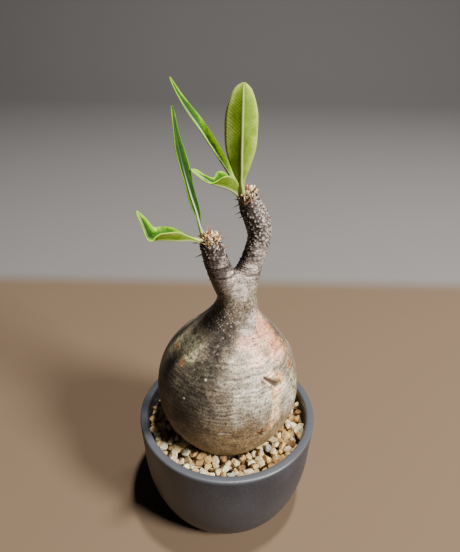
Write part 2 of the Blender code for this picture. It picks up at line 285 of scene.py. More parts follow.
def buildCamera():
    tilt = math.radians(stageLook["cameraTilt"])
    roll = math.radians(stageLook["cameraRoll"])
    forward = Vector((0, math.cos(tilt), -math.sin(tilt)))
    level = Vector((1, 0, 0))
    upright = Vector((0, math.sin(tilt), math.cos(tilt)))
    right = math.cos(roll) * level + math.sin(roll) * upright
    up = math.cos(roll) * upright - math.sin(roll) * level
    lens = bpy.data.cameras.new("Camera")
    lens.lens = stageLook["lens"]
    lens.sensor_width = 36
    lens.clip_start = 0.01
    lens.clip_end = 50
    camera = addObject("Camera", lens)
    turn = Matrix((right, up, -forward)).transposed()
    camera.matrix_world = Matrix.Translation(stageLook["cameraPlace"]) @ turn.to_4x4()
    bpy.context.scene.camera = camera


def addLight(name, place, size, power):
    light = bpy.data.lights.new(name, 'AREA')
    light.shape = 'DISK'
    light.size = size
    light.energy = power
    light.color = stageLook["lightColour"]
    item = addObject(name, light)
    item.location = place
    heading = Vector(stageLook["lightTarget"]) - Vector(place)
    item.rotation_euler = heading.to_track_quat('-Z', 'Y').to_euler()


def makeFloorMaterial():
    material, tree = newMaterial("pale floor", 0.85, 0.2)
    back = splitAxes(tree, objectCoordinates(tree))["Y"]
    beyond = addMath(tree, 'SUBTRACT', back, stageLook["farFrom"] - 0.5)
    blend = stageLook["blend"]
    colour = addRamp(tree, beyond, [(0.5 - blend, stageLook["nearColour"]),
                                    (0.5 + blend, stageLook["farColour"])])
    return finishMaterial(material, colour)


def buildStage():
    look = stageLook
    half, back, sweep = look["floorHalfWidth"], look["wallDistance"], look["sweepRadius"]
    bm = bmesh.new()
    start = [bm.verts.new((-half, -half, 0)), bm.verts.new((half, -half, 0))]
    edge = bm.edges.new(start)
    corner = [(back - sweep, 0.0)]
    for step in range(1, look["sweepSteps"] + 1):
        angle = math.radians(90 * step / look["sweepSteps"])
        corner.append((back - sweep + sweep * math.sin(angle), sweep - sweep * math.cos(angle)))
    corner.append((back, look["wallHeight"]))
    for y, z in corner:  # the floor runs up into the wall in one sweep
        grown = bmesh.ops.extrude_edge_only(bm, edges=[edge])["geom"]
        edge = next(item for item in grown if isinstance(item, bmesh.types.BMEdge))
        for vert in edge.verts:
            vert.co.y, vert.co.z = y, z
    bmesh.ops.recalc_face_normals(bm, faces=bm.faces)
    floor = addObject("floor", meshFrom(bm, "floor"))
    floor.data.shade_smooth()
    floor.data.materials.append(makeFloorMaterial())
    for name, values in look["lights"].items():
        addLight(name, *values)
    world = bpy.data.worlds.new("soft room")
    world.use_nodes = True
    background = world.node_tree.nodes["Background"]
    background.inputs["Color"].default_value = (*look["worldColour"], 1)
    background.inputs["Strength"].default_value = look["worldStrength"]
    bpy.context.scene.world = world


buildCamera()
buildStage()
print("camera, floor and lights set")


potLook = {
    "height": 52 * mm,
    "radius": 40 * mm,
    "taper": 0.8 * mm,
    "straightDepth": 16 * mm,
    "wall": 3.6 * mm,
    "footRadius": 24 * mm,
    "floorHeight": 5 * mm,
    "floorRadius": 20 * mm,
    "drainRadius": 6 * mm,
    "rounding": 0.9 * mm,         # of the rim, the foot and the drain hole
    "turnSteps": 144,
    "outsideSteps": 30,
    "insideSteps": 24,
    "glaze": (0.020, 0.022, 0.028),
    "glazePale": (0.035, 0.038, 0.047),
    # painted sheen: the rim's paler colour stands in for its reflection
    "paintedRimSheen": (0.056, 0.060, 0.070),
    "paleSpeck": (0.09, 0.09, 0.095),
    "darkSpeck": (0.010, 0.010, 0.011),
    "roughness": (0.34, 0.46),
}


def bowlSide(topRadius, straightBottom, footRadius, footHeight, steps):
    points = []
    for index in range(steps + 1):
        angle = math.pi / 2 * (1 - index / steps)
        points.append((footRadius + (topRadius - footRadius) * math.cos(angle),
                       straightBottom - (straightBottom - footHeight) * math.sin(angle)))
    return points


def makeGlazeMaterial():
    look = potLook
    material, tree = newMaterial("charcoal glaze")
    place = objectCoordinates(tree)
    cloud = addNoise(tree, place, 45.0)
    speck = addNoise(tree, place, 2600.0, 2.0, 0.6)
    colour = addRamp(tree, cloud, [(0.35, look["glaze"]), (0.7, look["glazePale"])])
    pale = addRamp(tree, speck, [(0.56, 0.0), (0.72, 1.0)])
    colour = addMix(tree, pale, colour, look["paleSpeck"])
    height = addMath(tree, 'DIVIDE', splitAxes(tree, place)["Z"], look["height"])
    # painted sheen: the glaze turns paler at the top of the rim
    nearRim = addRamp(tree, height, [(0.965, 0.0), (0.99, 1.0)])
    colour = addMix(tree, nearRim, colour, look["paintedRimSheen"])
    dark = addMath(tree, 'MULTIPLY', addSpeckle(tree, place, 1100.0, 0.30), 0.5)
    colour = addMix(tree, dark, colour, look["darkSpeck"])
    rough = addRamp(tree, cloud, [(0.3, look["roughness"][0]), (0.7, look["roughness"][1])])
    relief = addMath(tree, 'ADD', addMath(tree, 'MULTIPLY', cloud, 2.0),
                     addMath(tree, 'MULTIPLY', speck, 0.35))
    return finishMaterial(material, colour, relief, 0.06 * mm, rough)


def runsRound(edge):
    # level, and as far from the axis at one end as at the other
    first, second = [vert.co for vert in edge.verts]
    return (abs(first.z - second.z) < tiny
            and abs(first.xy.length - second.xy.length) < tiny)


def buildPot():
    look = potLook
    straightBottom = look["height"] - look["straightDepth"]
    outside = bowlSide(look["radius"] - look["taper"], straightBottom, look["footRadius"], 0.0,
                       look["outsideSteps"])
    inside = bowlSide(look["radius"] - look["wall"] - look["taper"], straightBottom,
                      look["floorRadius"], look["floorHeight"], look["insideSteps"])
    outline = outside + [(look["radius"], look["height"]),
                         (look["radius"] - look["wall"], look["height"])] + inside[::-1]
    outline += [(look["drainRadius"], look["floorHeight"]), (look["drainRadius"], 0.0)]
    bm = spinProfile(outline, look["turnSteps"], True)
    corners = []
    for edge in bm.edges:  # the rim's edges above, and the foot's and drain hole's below
        height = edge.verts[0].co.z
        if runsRound(edge) and (height > look["height"] - tiny or height < tiny):
            corners.append(edge)
    bmesh.ops.bevel(bm, geom=corners, offset=look["rounding"], offset_type='OFFSET',
                    affect='EDGES', segments=4, profile=0.5, material=-1)
    pot = addObject("potShell", meshFrom(bm, "potShell"))
    finishPiece(pot, makeGlazeMaterial(), "pot", 60)
    print("pot:", len(pot.data.polygons), "faces")


buildPot()


bodyLook = {
    "outline": [  # radius and height in mm, from the root's tip to inside the neck
        (0.0, 17.0), (2.6, 18.6), (4.6, 23.0), (7.0, 28.5), (10.2, 33.0), (14.1, 37.0),
        (18.0, 41.0), (20.8, 44.5), (24.7, 50.0), (28.4, 57.0), (30.3, 64.0), (30.8, 70.0),
        (30.3, 76.0), (28.9, 81.5), (26.6, 86.5), (23.5, 91.0), (19.7, 95.3), (15.8, 99.5),
        (12.4, 103.4), (9.9, 107.2), (8.4, 111.0), (7.6, 115.0), (6.4, 119.0), (4.7, 122.8),
        (2.6, 125.6), (0.0, 126.6)],
    "steps": 96,
    "leanStart": 72 * mm,
    "leanEnd": 112 * mm,
    "leanRate": 1.94,
    "rightArm": [  # x, y, z and radius in mm
        (3.8, 0.8, 113.1, 6.5), (4.7, 0.8, 116.6, 6.5), (6.0, 1.0, 120.5, 5.7),
        (7.5, 1.5, 125.3, 5.0), (8.9, 2.1, 130.0, 4.5), (10.2, 2.8, 134.2, 4.3),
        (11.0, 3.5, 138.2, 4.4), (10.9, 4.0, 141.5, 4.6), (10.1, 4.5, 144.8, 4.7),
        (8.6, 4.7, 148.3, 4.6), (7.2, 4.8, 151.8, 4.2), (6.4, 4.8, 154.2, 3.7),
        (6.0, 4.8, 155.7, 2.8), (5.8, 4.8, 156.6, 1.2)],
    "leftArm": [
        (2.4, 0.3, 113.4, 6.4), (0.9, -0.5, 117.2, 6.1), (-1.3, -2.0, 121.7, 5.4),
        (-3.3, -3.5, 127.0, 4.9), (-4.9, -5.0, 132.2, 4.6), (-6.0, -6.0, 136.5, 4.4),
        (-6.8, -6.8, 139.7, 4.0), (-7.2, -7.3, 142.0, 3.5), (-7.4, -7.5, 143.5, 2.6),
        (-7.5, -7.5, 144.3, 1.1)],
    "armSides": 32,
    "tips": [(6.0, 4.8, 155.0), (-7.3, -7.4, 143.0)],       # the woolly ends of the arms
    "voxel": 0.62 * mm,
    "fineFrom": 103 * mm,         # above this the skin is split once more
    "fineReach": 3.0,             # and so is the skin this near to a cut, scratch or fleck, in mm
    "fork": (105 * mm, 132 * mm),
    "forkSmoothing": 6,
    # heights in mm between which the skin changes over
    "soilLine": (40, 46),
    "bellyEnd": (102, 114),
    "armStart": (119, 128),
    "lowerArm": (128, 142),
    "ridgedArm": (134, 147),
    "neckScarring": (86, 124),
    "clearScars": (98, 108),
    # how deep or high each form is
    "lump": 0.45 * mm,
    "wrinkle": 0.05 * mm,
    "grit": 0.04 * mm,
    "armBump": 0.34 * mm,
    "armPit": 0.20 * mm,
    "armLump": 0.35 * mm,
    "ringDepth": 0.26 * mm,
    "neckBump": 0.10 * mm,
    "neckPit": 0.14 * mm,
    "cutLip": 0.55 * mm,
    "cutDepth": 0.95 * mm,
    "scratchDepth": 0.2 * mm,
    "pockDepth": 0.35 * mm,
    "scars": {"rightArm": 900, "leftArm": 600},
    "hollowShare": 0.48,          # of the arms' scars have dropped their spine and lie open
    "neckScars": 3000,
    "castFrom": 0.05,             # they are cast onto the skin from this far out, in metres
    "seed": 21,
    "slit": ((14.1, -20.4, 89.4), (19.5, -19.3, 85.4)),     # the big healed cut, in mm
    "scratch": ((-4.0, -30.4, 69.5), (1.8, -30.4, 69.8)),
    "pock": [(13.3, -27.4, 67.2)],
    "flecks": [(-8.3, -22.5, 89.9), (-17.0, -23.3, 81.0)],
    "fleckRadius": 0.48,
    "patches": {  # centre and radius in mm, and how much taller than wide
        # painted shade on the left flank and the back-left, over darker bark
        "stain": [((-15.0, -23.5, 83.5), 14.0, 1.0), ((-16.0, -23.5, 74.0), 12.0, 0.9),
                  ((-27.0, -8.0, 78.0), 15.0, 1.2), ((-8.0, -20.0, 94.0), 7.0, 0.9),
                  ((-13.0, -21.5, 89.5), 8.0, 0.8), ((-14.0, 25.0, 70.0), 12.0, 1.0)],
        "silver": [((12.5, -25.5, 85.5), 15.0, 0.8), ((14.0, -20.0, 95.0), 11.0, 0.9),
                   ((24.5, -15.5, 77.0), 10.0, 1.1), ((4.5, -19.0, 96.0), 5.5, 0.9),
                   ((-10.0, 26.0, 82.0), 13.0, 0.9), ((26.0, 9.0, 84.0), 8.0, 0.7),
                   ((21.0, 20.0, 75.0), 7.0, 1.0)],
        # painted light on the lit right and front sides of the arms, the fork and the neck, over pale
        # ashen bark
        "ash": [((4.5, -5.0, 119.5), 4.6, 1.0), ((8.5, -3.5, 126.0), 5.5, 1.4),
                ((13.5, -0.5, 134.5), 5.0, 1.5), ((15.5, 2.0, 142.5), 5.0, 1.3),
                ((12.5, 1.5, 150.0), 4.2, 1.2), ((0.8, -6.5, 126.0), 3.2, 1.3),
                ((-1.5, -9.5, 134.0), 2.6, 1.5), ((10.0, -6.5, 108.0), 4.2, 1.3),
                ((8.0, -10.5, 103.5), 4.0, 0.9)],
        # painted shade under the neck, where the neck and left arm shade the shoulder, and on the
        # shaded left sides of the arms, over dark umber bark
        "umber": [((-5.4, -7.1, 106.3), 6.5, 1.3), ((-3.5, -12.5, 101.5), 5.5, 1.0),
                  ((-5.0, -16.5, 98.0), 3.6, 0.9),
                  ((-8.0, -5.0, 104.5), 5.0, 0.9), ((-27.0, -13.0, 84.0), 7.0, 1.4),
                  ((6.0, 29.0, 66.0), 11.0, 0.9), ((-29.0, 12.0, 76.0), 9.0, 1.2),
                  ((-6.5, -4.0, 112.0), 6.0, 1.6), ((-10.0, -4.5, 130.0), 3.6, 2.2),
                  ((-9.5, -9.0, 140.0), 4.0, 1.0), ((4.6, 1.5, 146.0), 4.6, 1.3),
                  ((4.4, 1.0, 131.0), 3.5, 2.0), ((0.8, -11.0, 106.5), 3.2, 1.4)],
        "moss": [((-15.4, -9.1, 96.1), 7.0, 0.9), ((-20.0, -3.0, 92.6), 6.0, 0.9),
                 ((-13.5, -13.5, 94.5), 3.6, 1.0), ((-14.0, 6.0, 97.0), 6.0, 0.9),
                 ((4.0, 22.0, 91.0), 7.0, 0.8), ((27.5, -11.0, 80.0), 4.5, 1.6)],
        "blush": [((14.7, -5.4, 101.4), 7.0, 1.1), ((10.5, -12.8, 99.6), 6.5, 0.9),
                  ((18.0, -9.0, 95.0), 7.5, 0.9), ((13.0, -16.5, 95.0), 6.0, 0.8)],
        "rust": [((22.8, -3.4, 92.3), 3.6, 1.6), ((24.8, -8.5, 87.0), 3.0, 1.5),
                 ((17.0, -1.0, 99.5), 2.8, 1.4), ((-18.4, -13.6, 91.0), 1.6, 1.5),
                 ((-20.8, -4.7, 92.5), 2.4, 1.5), ((13.3, -27.4, 67.6), 2.6, 0.6),
                 ((16.5, -24.5, 68.5), 3.2, 0.8)],
        "cream": [((17.6, -19.6, 88.6), 4.6, 0.8), ((21.2, -18.0, 86.8), 4.2, 0.9),
                  ((19.6, -20.6, 82.6), 4.0, 1.2), ((19.4, -22.2, 78.6), 3.2, 1.0),
                  ((19.5, -23.0, 73.0), 4.2, 1.0)]},
}


def pushRing(bm, path, segments):
    # one ring pushed along places and radii, closed at both ends; gives the rings back
    ring = bmesh.ops.create_circle(bm, segments=segments, radius=1.0)["verts"]
    edges = [bm.edges.get((ring[index - 1], ring[index])) for index in range(segments)]
    openEdges = list(edges)
    place, radius = Vector((0, 0, 0)), 1.0
    heading = Vector((0, 0, 1))
    rings = []
    for index, here in enumerate(path):
        ahead = path[min(index + 1, len(path) - 1)].xyz
        along = (ahead - path[max(index - 1, 0)].xyz).normalized()
        turn = heading.rotation_difference(along).to_matrix()
        if index:
            grown = bmesh.ops.extrude_edge_only(bm, edges=edges)["geom"]
            edges = [item for item in grown if isinstance(item, bmesh.types.BMEdge)]
            ring = [item for item in grown if isinstance(item, bmesh.types.BMVert)]
        for vert in ring:
            vert.co = here.xyz + turn @ (vert.co - place) * (here.w / radius)
        place, radius, heading = here.xyz, here.w, along
        rings.append(ring)
    bmesh.ops.holes_fill(bm, edges=openEdges + edges, sides=0)
    return rings


def armTube(stations):
    bm = bmesh.new()
    pushRing(bm, smoothPath([Vector(item) * mm for item in stations], 3), bodyLook["armSides"])
    bmesh.ops.recalc_face_normals(bm, faces=bm.faces)
    return bm


def leanOf(height):
    rise = max(0.0, min(height, bodyLook["leanEnd"]) - bodyLook["leanStart"])
    return bodyLook["leanRate"] * rise * rise


def roughBody():
    # root, caudex, neck and both arms as one closed skin, even in its spacing
    outline = smoothPath([(r * mm, 0, z * mm) for r, z in bodyLook["outline"]], 4)
    join = spinProfile([(max(point.x, 0.0), point.z) for point in outline],
                       bodyLook["steps"], False)
    for vert in join.verts:
        vert.co.x += leanOf(vert.co.z)
    for arm in ("rightArm", "leftArm"):
        join.from_mesh(meshFrom(armTube(bodyLook[arm]), arm))
    item = addObject("plantBody", meshFrom(join, "plantBody"))
    skin = item.modifiers.new("skin", 'REMESH')
    skin.mode = 'VOXEL'
    skin.voxel_size = bodyLook["voxel"]
    mesh = evaluatedMesh(item)
    item.modifiers.clear()
    item.data = mesh
    return item


def armSites(stations, count, rng):
    # places of leaf scars: a loose golden-angle spiral up the arm, from the fork to the tip
    path = smoothPath([Vector(item) * mm for item in stations[2:]], 6)
    last = len(path) - 2
    sites = []
    for number in range(count):
        place = (number + 0.5) / count * last
        place = max(0.0, min(last - 0.01, place + rng.uniform(-0.18, 0.18)))
        index = int(place)
        middle = path[index].lerp(path[index + 1], place - index)
        along = (path[index + 1].xyz - path[index].xyz).normalized()
        across = (Vector((0, 1, 0)) - along * along.y).normalized()
        angle = number * goldenTurn + rng.uniform(-0.09, 0.09)
        out = Matrix.Rotation(angle, 3, along) @ across
        sites.append((middle.xyz + out * middle.w, out, along, place / last))
    return sites


def nearTree(places):
    tree = KDTree(len(places))
    for index, place in enumerate(places):
        tree.insert(place, index)
    tree.balance()
    return tree


def neckSites(surface, rng):
    # small round scars on the shoulder and neck, thicker towards the fork
    sites = []
    low, high = bodyLook["neckScarring"]
    for number in range(bodyLook["neckScars"]):
        share = (number + 0.5) / bodyLook["neckScars"]
        height = (low + (high - low) * share) * mm
        angle = number * goldenTurn
        out = Vector((math.cos(angle), math.sin(angle), 0))
        middle = Vector((leanOf(height), 0, height))
        hit = surface.ray_cast(middle + out * bodyLook["castFrom"], -out)[0]
        if hit is not None and rng.random() < 0.25 + 0.75 * share:
            sites.append((hit, rng.uniform(0.35, 1.0)))
    return sites


def offLine(place, ends):
    # distance from a line between two points, in mm, and the share of the way along it
    start, stop = [Vector(item) for item in ends]
    share = max(0.0, min(1.0, (place - start).dot(stop - start) / (stop - start).length_squared))
    return (place - start.lerp(stop, share)).length, share


def nearMark(place):
    inMm, reach = place / mm, bodyLook["fineReach"]
    spots = bodyLook["pock"] + bodyLook["flecks"]
    return (any(offLine(inMm, bodyLook[name])[0] < reach for name in ("slit", "scratch"))
            or any((inMm - Vector(spot)).length < reach for spot in spots))


def splitFine(bm):
    # the arms, and the skin beside a mark, get closer points
    marked = {vert for vert in bm.verts
              if vert.co.z > bodyLook["fineFrom"] or nearMark(vert.co)}
    fine = [edge for edge in bm.edges if marked.issuperset(edge.verts)]
    bmesh.ops.subdivide_edges(bm, edges=fine, cuts=1, use_grid_fill=True)


def smoothSkin(bm, verts):
    bmesh.ops.smooth_vert(bm, verts=verts, factor=0.5, use_axis_x=True, use_axis_y=True,
                          use_axis_z=True)


def bellySkin(place, inMm, found):
    # slow lumps, and fine level wrinkles round the belly
    look = bodyLook
    onBelly = 1.0 - ease(*look["bellyEnd"], inMm.z)
    above = ease(*look["soilLine"], inMm.z)
    wander = 0.5 * noise.noise(place * 45)
    ripple = noise.noise(Vector((inMm.x * 0.03, inMm.y * 0.03, inMm.z * 0.9 + wander)))
    broken = 0.5 + 0.5 * noise.noise(Vector((inMm.x, inMm.y, inMm.z * 1.5)) * 0.2)
    line = max(0.0, 1.0 - abs(ripple) * 7) * ease(0.3, 0.6, broken)
    found["crease"] = line * onBelly * above
    return (look["lump"] * onBelly * above * noise.noise(place * 42)
            - look["wrinkle"] * found["crease"]
            + look["grit"] * noise.noise(place * 900) * above)


def armSkin(place, inMm, found, onArm, scarTree, tones):
    # leaf scars on the arms, in level folds that run closer low down
    look = bodyLook
    _, index, gap = scarTree.find(place)
    tone = tones[index]
    lower = 1 - ease(*look["lowerArm"], inMm.z)
    near = math.exp(-(gap / ((0.26 + 0.22 * tone) * mm)) ** 2)
    near *= 1 - 0.4 * lower
    rings = math.sin(7.6 * inMm.z + 5 * noise.noise(place * 130))
    fold = ease(0.0, 0.9, rings) * ease(-0.5, 0.2, noise.noise(place * 350))
    hollow = tone < look["hollowShare"]
    depth = -look["armPit"] if hollow else look["armBump"]
    top = onArm * ease(0.45, 0.85, near)
    if hollow:
        found["pit"] = top
    else:
        found["scar"] = top * tone
    found["knobs"] = onArm * (1 - 0.75 * lower)
    found["ridged"] = onArm * (1 - ease(*look["ridgedArm"], inMm.z))
    between = 0.45 * (1 - lower) + 0.15
    found["crease"] = max(found["crease"], onArm * (1 - near) * (between + 0.6 * fold))
    return (onArm * depth * near - onArm * look["ringDepth"] * fold * (0.35 + 0.65 * lower)
            + onArm * look["armLump"] * noise.noise(place * 260))


def neckSkin(place, inMm, found, onArm, scarTree, scars):
    # small scars on the neck and shoulder
    look = bodyLook
    _, index, distance = scarTree.find(place)
    gap = distance / mm / scars[index][1]
    if gap >= 3:
        return 0.0
    near = math.exp(-(gap / 0.36) ** 2) * (1 - onArm)
    centre = math.exp(-(gap / 0.20) ** 2) * (1 - onArm)
    kind = "scar" if index % 2 else "pit"
    clear = 0.45 + 0.40 * ease(*look["clearScars"], inMm.z)
    found[kind] = max(found[kind], clear * ease(0.35, 0.95, near))
    return look["neckBump"] * near - look["neckPit"] * centre


def markSkin(place, inMm, found, marks):
    # the healed cut, the scratch, the pock and the pale flecks
    look = bodyLook
    shift = 0.0
    gap, share = offLine(inMm, marks["slit"])
    if gap < 4:
        wide = 0.55 + 1.05 * share + 0.3 * noise.noise(place * 700)
        shift += look["cutLip"] * math.exp(-((gap - 1.3 * wide - 0.3) / 0.6) ** 2)
        shift -= look["cutDepth"] * math.exp(-(gap / wide) ** 2)
        found["healed"] = math.exp(-(gap / wide) ** 4)
    gap, _ = offLine(inMm, marks["scratch"])
    if gap < 3:
        shift -= look["scratchDepth"] * math.exp(-(gap / 0.4) ** 2)
        uneven = max(0.0, min(1.0, 0.45 + 1.3 * noise.noise(place * 700)))
        found["scar"] = max(found["scar"], uneven * math.exp(-(gap / 0.38) ** 2))
    for pock in marks["pock"]:
        gap = (inMm - pock).length
        if gap < 4:  # five short spokes
            spoke = 0.5 + 0.5 * math.sin(5 * math.atan2(inMm.x - pock.x, inMm.z - pock.z))
            depth = math.exp(-(gap / (0.6 + 1.5 * spoke)) ** 2)
            shift -= look["pockDepth"] * depth
            found["healed"] = max(found["healed"], ease(0.1, 0.5, depth))
            found["pit"] = max(found["pit"], ease(0.35, 0.8, depth))
    for fleck in marks["flecks"]:
        reach = (inMm - fleck).length / look["fleckRadius"]
        found["scar"] = max(found["scar"], math.exp(-reach ** 4))
    return shift


def patchAmount(place, patches, torn):
    amount = 0.0
    for centre, radius, stretch in patches:
        offset = place - Vector(centre)
        offset.z /= stretch
        amount = max(amount, 1 - ease(0.40, 1.20, offset.length / radius + 0.5 * torn))
    return amount


def shapeBody(body):
    look = bodyLook
    rng = random.Random(look["seed"])
    bm = bmesh.new()
    bm.from_mesh(body.data)
    splitFine(bm)
    forkLow, forkHigh = look["fork"]
    for _ in range(look["forkSmoothing"]):
        smoothSkin(bm, [vert for vert in bm.verts if forkLow < vert.co.z < forkHigh])
    smoothSkin(bm, bm.verts)
    bm.normal_update()
    armScars = []
    for arm, count in look["scars"].items():
        armScars += armSites(look[arm], count, rng)
    tones = [rng.random() for _ in armScars]
    skin = BVHTree.FromBMesh(bm)
    armTree = nearTree([skin.find_nearest(site[0])[0] for site in armScars])
    neckScars = neckSites(skin, rng)
    neckTree = nearTree([site[0] for site in neckScars])
    marks = {name: [skin.find_nearest(Vector(item) * mm)[0] / mm for item in look[name]]
             for name in ("slit", "scratch", "pock", "flecks")}
    names = ["scar", "pit", "crease", "woolly", "arm", "knobs", "ridged", "healed"]
    names += list(look["patches"])
    values = {name: [] for name in names}
    moves = []
    for vert in bm.verts:
        place, inMm = vert.co, vert.co / mm
        found = dict.fromkeys(names, 0.0)
        onArm = ease(*look["armStart"], inMm.z)
        shift = bellySkin(place, inMm, found)
        if onArm > 0:
            shift += armSkin(place, inMm, found, onArm, armTree, tones)
        if onArm < 1:
            shift += neckSkin(place, inMm, found, onArm, neckTree, neckScars)
        shift += markSkin(place, inMm, found, marks)
        torn = noise.fractal(place * 170, 1.0, 2.0, 4)
        for name, patches in look["patches"].items():
            found[name] = patchAmount(inMm, patches, torn)
        toTip = min((inMm - Vector(tip)).length for tip in look["tips"])
        found["woolly"] = max(0.0, 1 - ease(1.5, 5.0, toTip + 2 * torn))
        found["arm"] = onArm
        moves.append(vert.normal * shift)
        for name in names:
            values[name].append(found[name])
    for vert, move in zip(bm.verts, moves):
        vert.co += move
    bmesh.ops.recalc_face_normals(bm, faces=bm.faces)
    surface = BVHTree.FromBMesh(bm)
    bm.to_mesh(body.data)
    bm.free()
    for name in names:
        floatAttribute(body.data, name, values[name])
    return surface


barkLook = {
    "lineSpacing": 1.7 * mm,
    "bumpSpacing": 1.0 * mm,
    "brown": (0.100, 0.073, 0.047),
    "grey": (0.215, 0.172, 0.121),
    # the ochre low on the belly is partly painted warm bounce light
    "ochre": ((0.15, 0.088, 0.034), (0.43, 0.290, 0.132)),
    "armGrey": (0.090, 0.068, 0.060),
    "tints": {  # colours from dark to pale, and the strength of each patch kind
        # painted shade on the left flank, over darker bark
        "stain": ((0.020, 0.017, 0.011), (0.064, 0.053, 0.036), 0.90),
        "silver": ((0.25, 0.215, 0.150), (0.60, 0.535, 0.42), 0.88),
        # painted light on the arms' lit sides, over pale ashen bark
        "ash": ((0.27, 0.215, 0.180), (0.57, 0.480, 0.418), 0.87),
        # painted shade under the neck and on the arms' shaded sides, over dark umber bark
        "umber": ((0.014, 0.011, 0.009), (0.050, 0.038, 0.030), 0.92),
        "moss": ((0.095, 0.084, 0.038), (0.50, 0.460, 0.280), 0.90),
        "blush": ((0.62, 0.25, 0.15), (0.84, 0.56, 0.385), 0.9),
        "rust": ((0.24, 0.100, 0.030), (0.52, 0.29, 0.12), 0.7),
        "cream": ((0.68, 0.36, 0.16), (0.93, 0.72, 0.47), 0.95)},
    "marks": {  # colour and strength
        "crease": ((0.030, 0.022, 0.018), 0.55),
        "scar": ((0.56, 0.49, 0.43), 0.9),
        "pit": ((0.012, 0.009, 0.008), 1.0),
        "healed": ((0.050, 0.028, 0.016), 1.0),
        "woolly": ((0.30, 0.185, 0.105), 0.9)},
    "roughness": (0.40, 0.64),
}


def makeBarkMaterial():
    look = barkLook
    material, tree = newMaterial("caudex bark", specular=0.28)
    place = objectCoordinates(tree)
    up = splitAxes(tree, place)["Z"]
    mottle = addNoise(tree, place, 75.0, 4.0, 0.6)
    blotch = addNoise(tree, place, 330.0, 4.0, 0.65)
    fine = addNoise(tree, place, 1300.0, 3.0, 0.7)
    streak = addNoise(tree, objectCoordinates(tree, (0.07, 0.07, 1.0)), 1100.0, 3.0, 0.65, 0.4)
    grain = addNoise(tree, objectCoordinates(tree, (1.0, 1.0, 0.07)), 900.0, 2.0, 0.6)
    colour = addRamp(tree, mottle, [(0.34, look["brown"]), (0.62, look["grey"])])
    # ochre low on the belly, partly painted warm bounce light
    wobble = addMath(tree, 'ADD', up, addMath(tree, 'MULTIPLY', mottle, 0.02))
    low = addHeightRamp(tree, wobble, [(68, 1.0), (88, 0.0)])
    ochre = addRamp(tree, blotch, [(0.38, look["ochre"][0]), (0.62, look["ochre"][1])])
    colour = addMix(tree, addMath(tree, 'MULTIPLY', low, 0.85), colour, ochre)
    colour = addMix(tree, addAttribute(tree, "arm"), colour, look["armGrey"])
    for name, (dark, pale, strength) in look["tints"].items():
        share = addMath(tree, 'MULTIPLY', addAttribute(tree, name), strength)
        tint = addRamp(tree, mottle if name == "blush" else blotch, [(0.38, dark), (0.60, pale)])
        colour = addMix(tree, share, colour, tint)
    # broken level lines round the middle of the belly
    wander = addMath(tree, 'ADD', addMath(tree, 'MULTIPLY', mottle, 3.5),
                     addMath(tree, 'MULTIPLY', blotch, 0.3))
    rise = addMath(tree, 'MULTIPLY', up, 1 / look["lineSpacing"])
    beat = addMath(tree, 'PINGPONG', addMath(tree, 'ADD', rise, wander), 0.5)
    lines = addRamp(tree, beat, [(0.0, 0.42), (0.12, 0.58), (0.24, 0.98), (0.5, 1.22)])
    banded = addHeightRamp(tree, up, [(64, 0.0), (80, 0.85), (94, 1.0), (99, 0.0)])
    torn = addRamp(tree, streak, [(0.42, 0.30), (0.56, 0.95)])
    faded = addMath(tree, 'MULTIPLY', banded, torn)
    colour = addMix(tree, faded, colour, addMix(tree, 1.0, colour, lines, 'MULTIPLY'))
    # faint streaks and upright grain, dark freckles and pale crumbs
    for source, strength, stops in (
            (streak, 0.4, [(0.36, 0.75), (0.47, 0.98), (0.55, 1.0), (0.66, 1.30)]),
            (grain, 0.5, [(0.34, 0.72), (0.6, 1.06)]),
            (fine, 0.88, [(0.36, 0.15), (0.46, 0.86), (0.57, 1.05), (0.66, 1.7)])):
        colour = addMix(tree, strength, colour, addRamp(tree, source, stops), 'MULTIPLY')
    crumbs = addMath(tree, 'MULTIPLY', addSpeckle(tree, place, 1500.0, 0.36), 0.15)
    colour = addMix(tree, crumbs, colour, look["marks"]["scar"][0])
    # dark dots on the neck
    neck = addHeightRamp(tree, up, [(93, 0.0), (101, 0.75), (115, 0.75), (122, 0.0)], 200)
    dots = addMath(tree, 'MULTIPLY', neck, addSpeckle(tree, place, 950.0, 0.46))
    colour = addMix(tree, dots, colour, look["marks"]["pit"][0])
    # close bumps on the arms, with a painted highlight on top and painted shade between, and level
    # ridges low on them
    cells = addNode(tree, "ShaderNodeTexVoronoi",
                    {"Vector": place, "Scale": 1 / look["bumpSpacing"]})
    paintedBumpLight = addRamp(tree, cells.outputs["Distance"],
                   [(0.05, 1.9), (0.26, 1.3), (0.46, 0.60), (0.72, 0.20)])
    colour = addMix(tree, addAttribute(tree, "knobs"), colour, paintedBumpLight, 'MULTIPLY')
    ridges = addRamp(tree, streak, [(0.38, 0.28), (0.47, 0.85), (0.53, 1.2), (0.64, 1.7)])
    colour = addMix(tree, addAttribute(tree, "ridged"), colour, ridges, 'MULTIPLY')
    for name, (tint, strength) in look["marks"].items():
        amount = addMath(tree, 'MULTIPLY', addAttribute(tree, name), strength)
        colour = addMix(tree, amount, colour, tint)
    rough = addRamp(tree, blotch, [(0.35, look["roughness"][0]), (0.65, look["roughness"][1])])
    relief = addMath(tree, 'ADD', addMath(tree, 'MULTIPLY', streak, 0.25),
                     addMath(tree, 'ADD', fine, addMath(tree, 'MULTIPLY', beat, faded)))
    return finishMaterial(material, colour, relief, 0.13 * mm, rough)


body = roughBody()
bodySurface = shapeBody(body)
finishPiece(body, makeBarkMaterial(), "caudex")
print("plant body:", len(body.data.polygons), "faces")


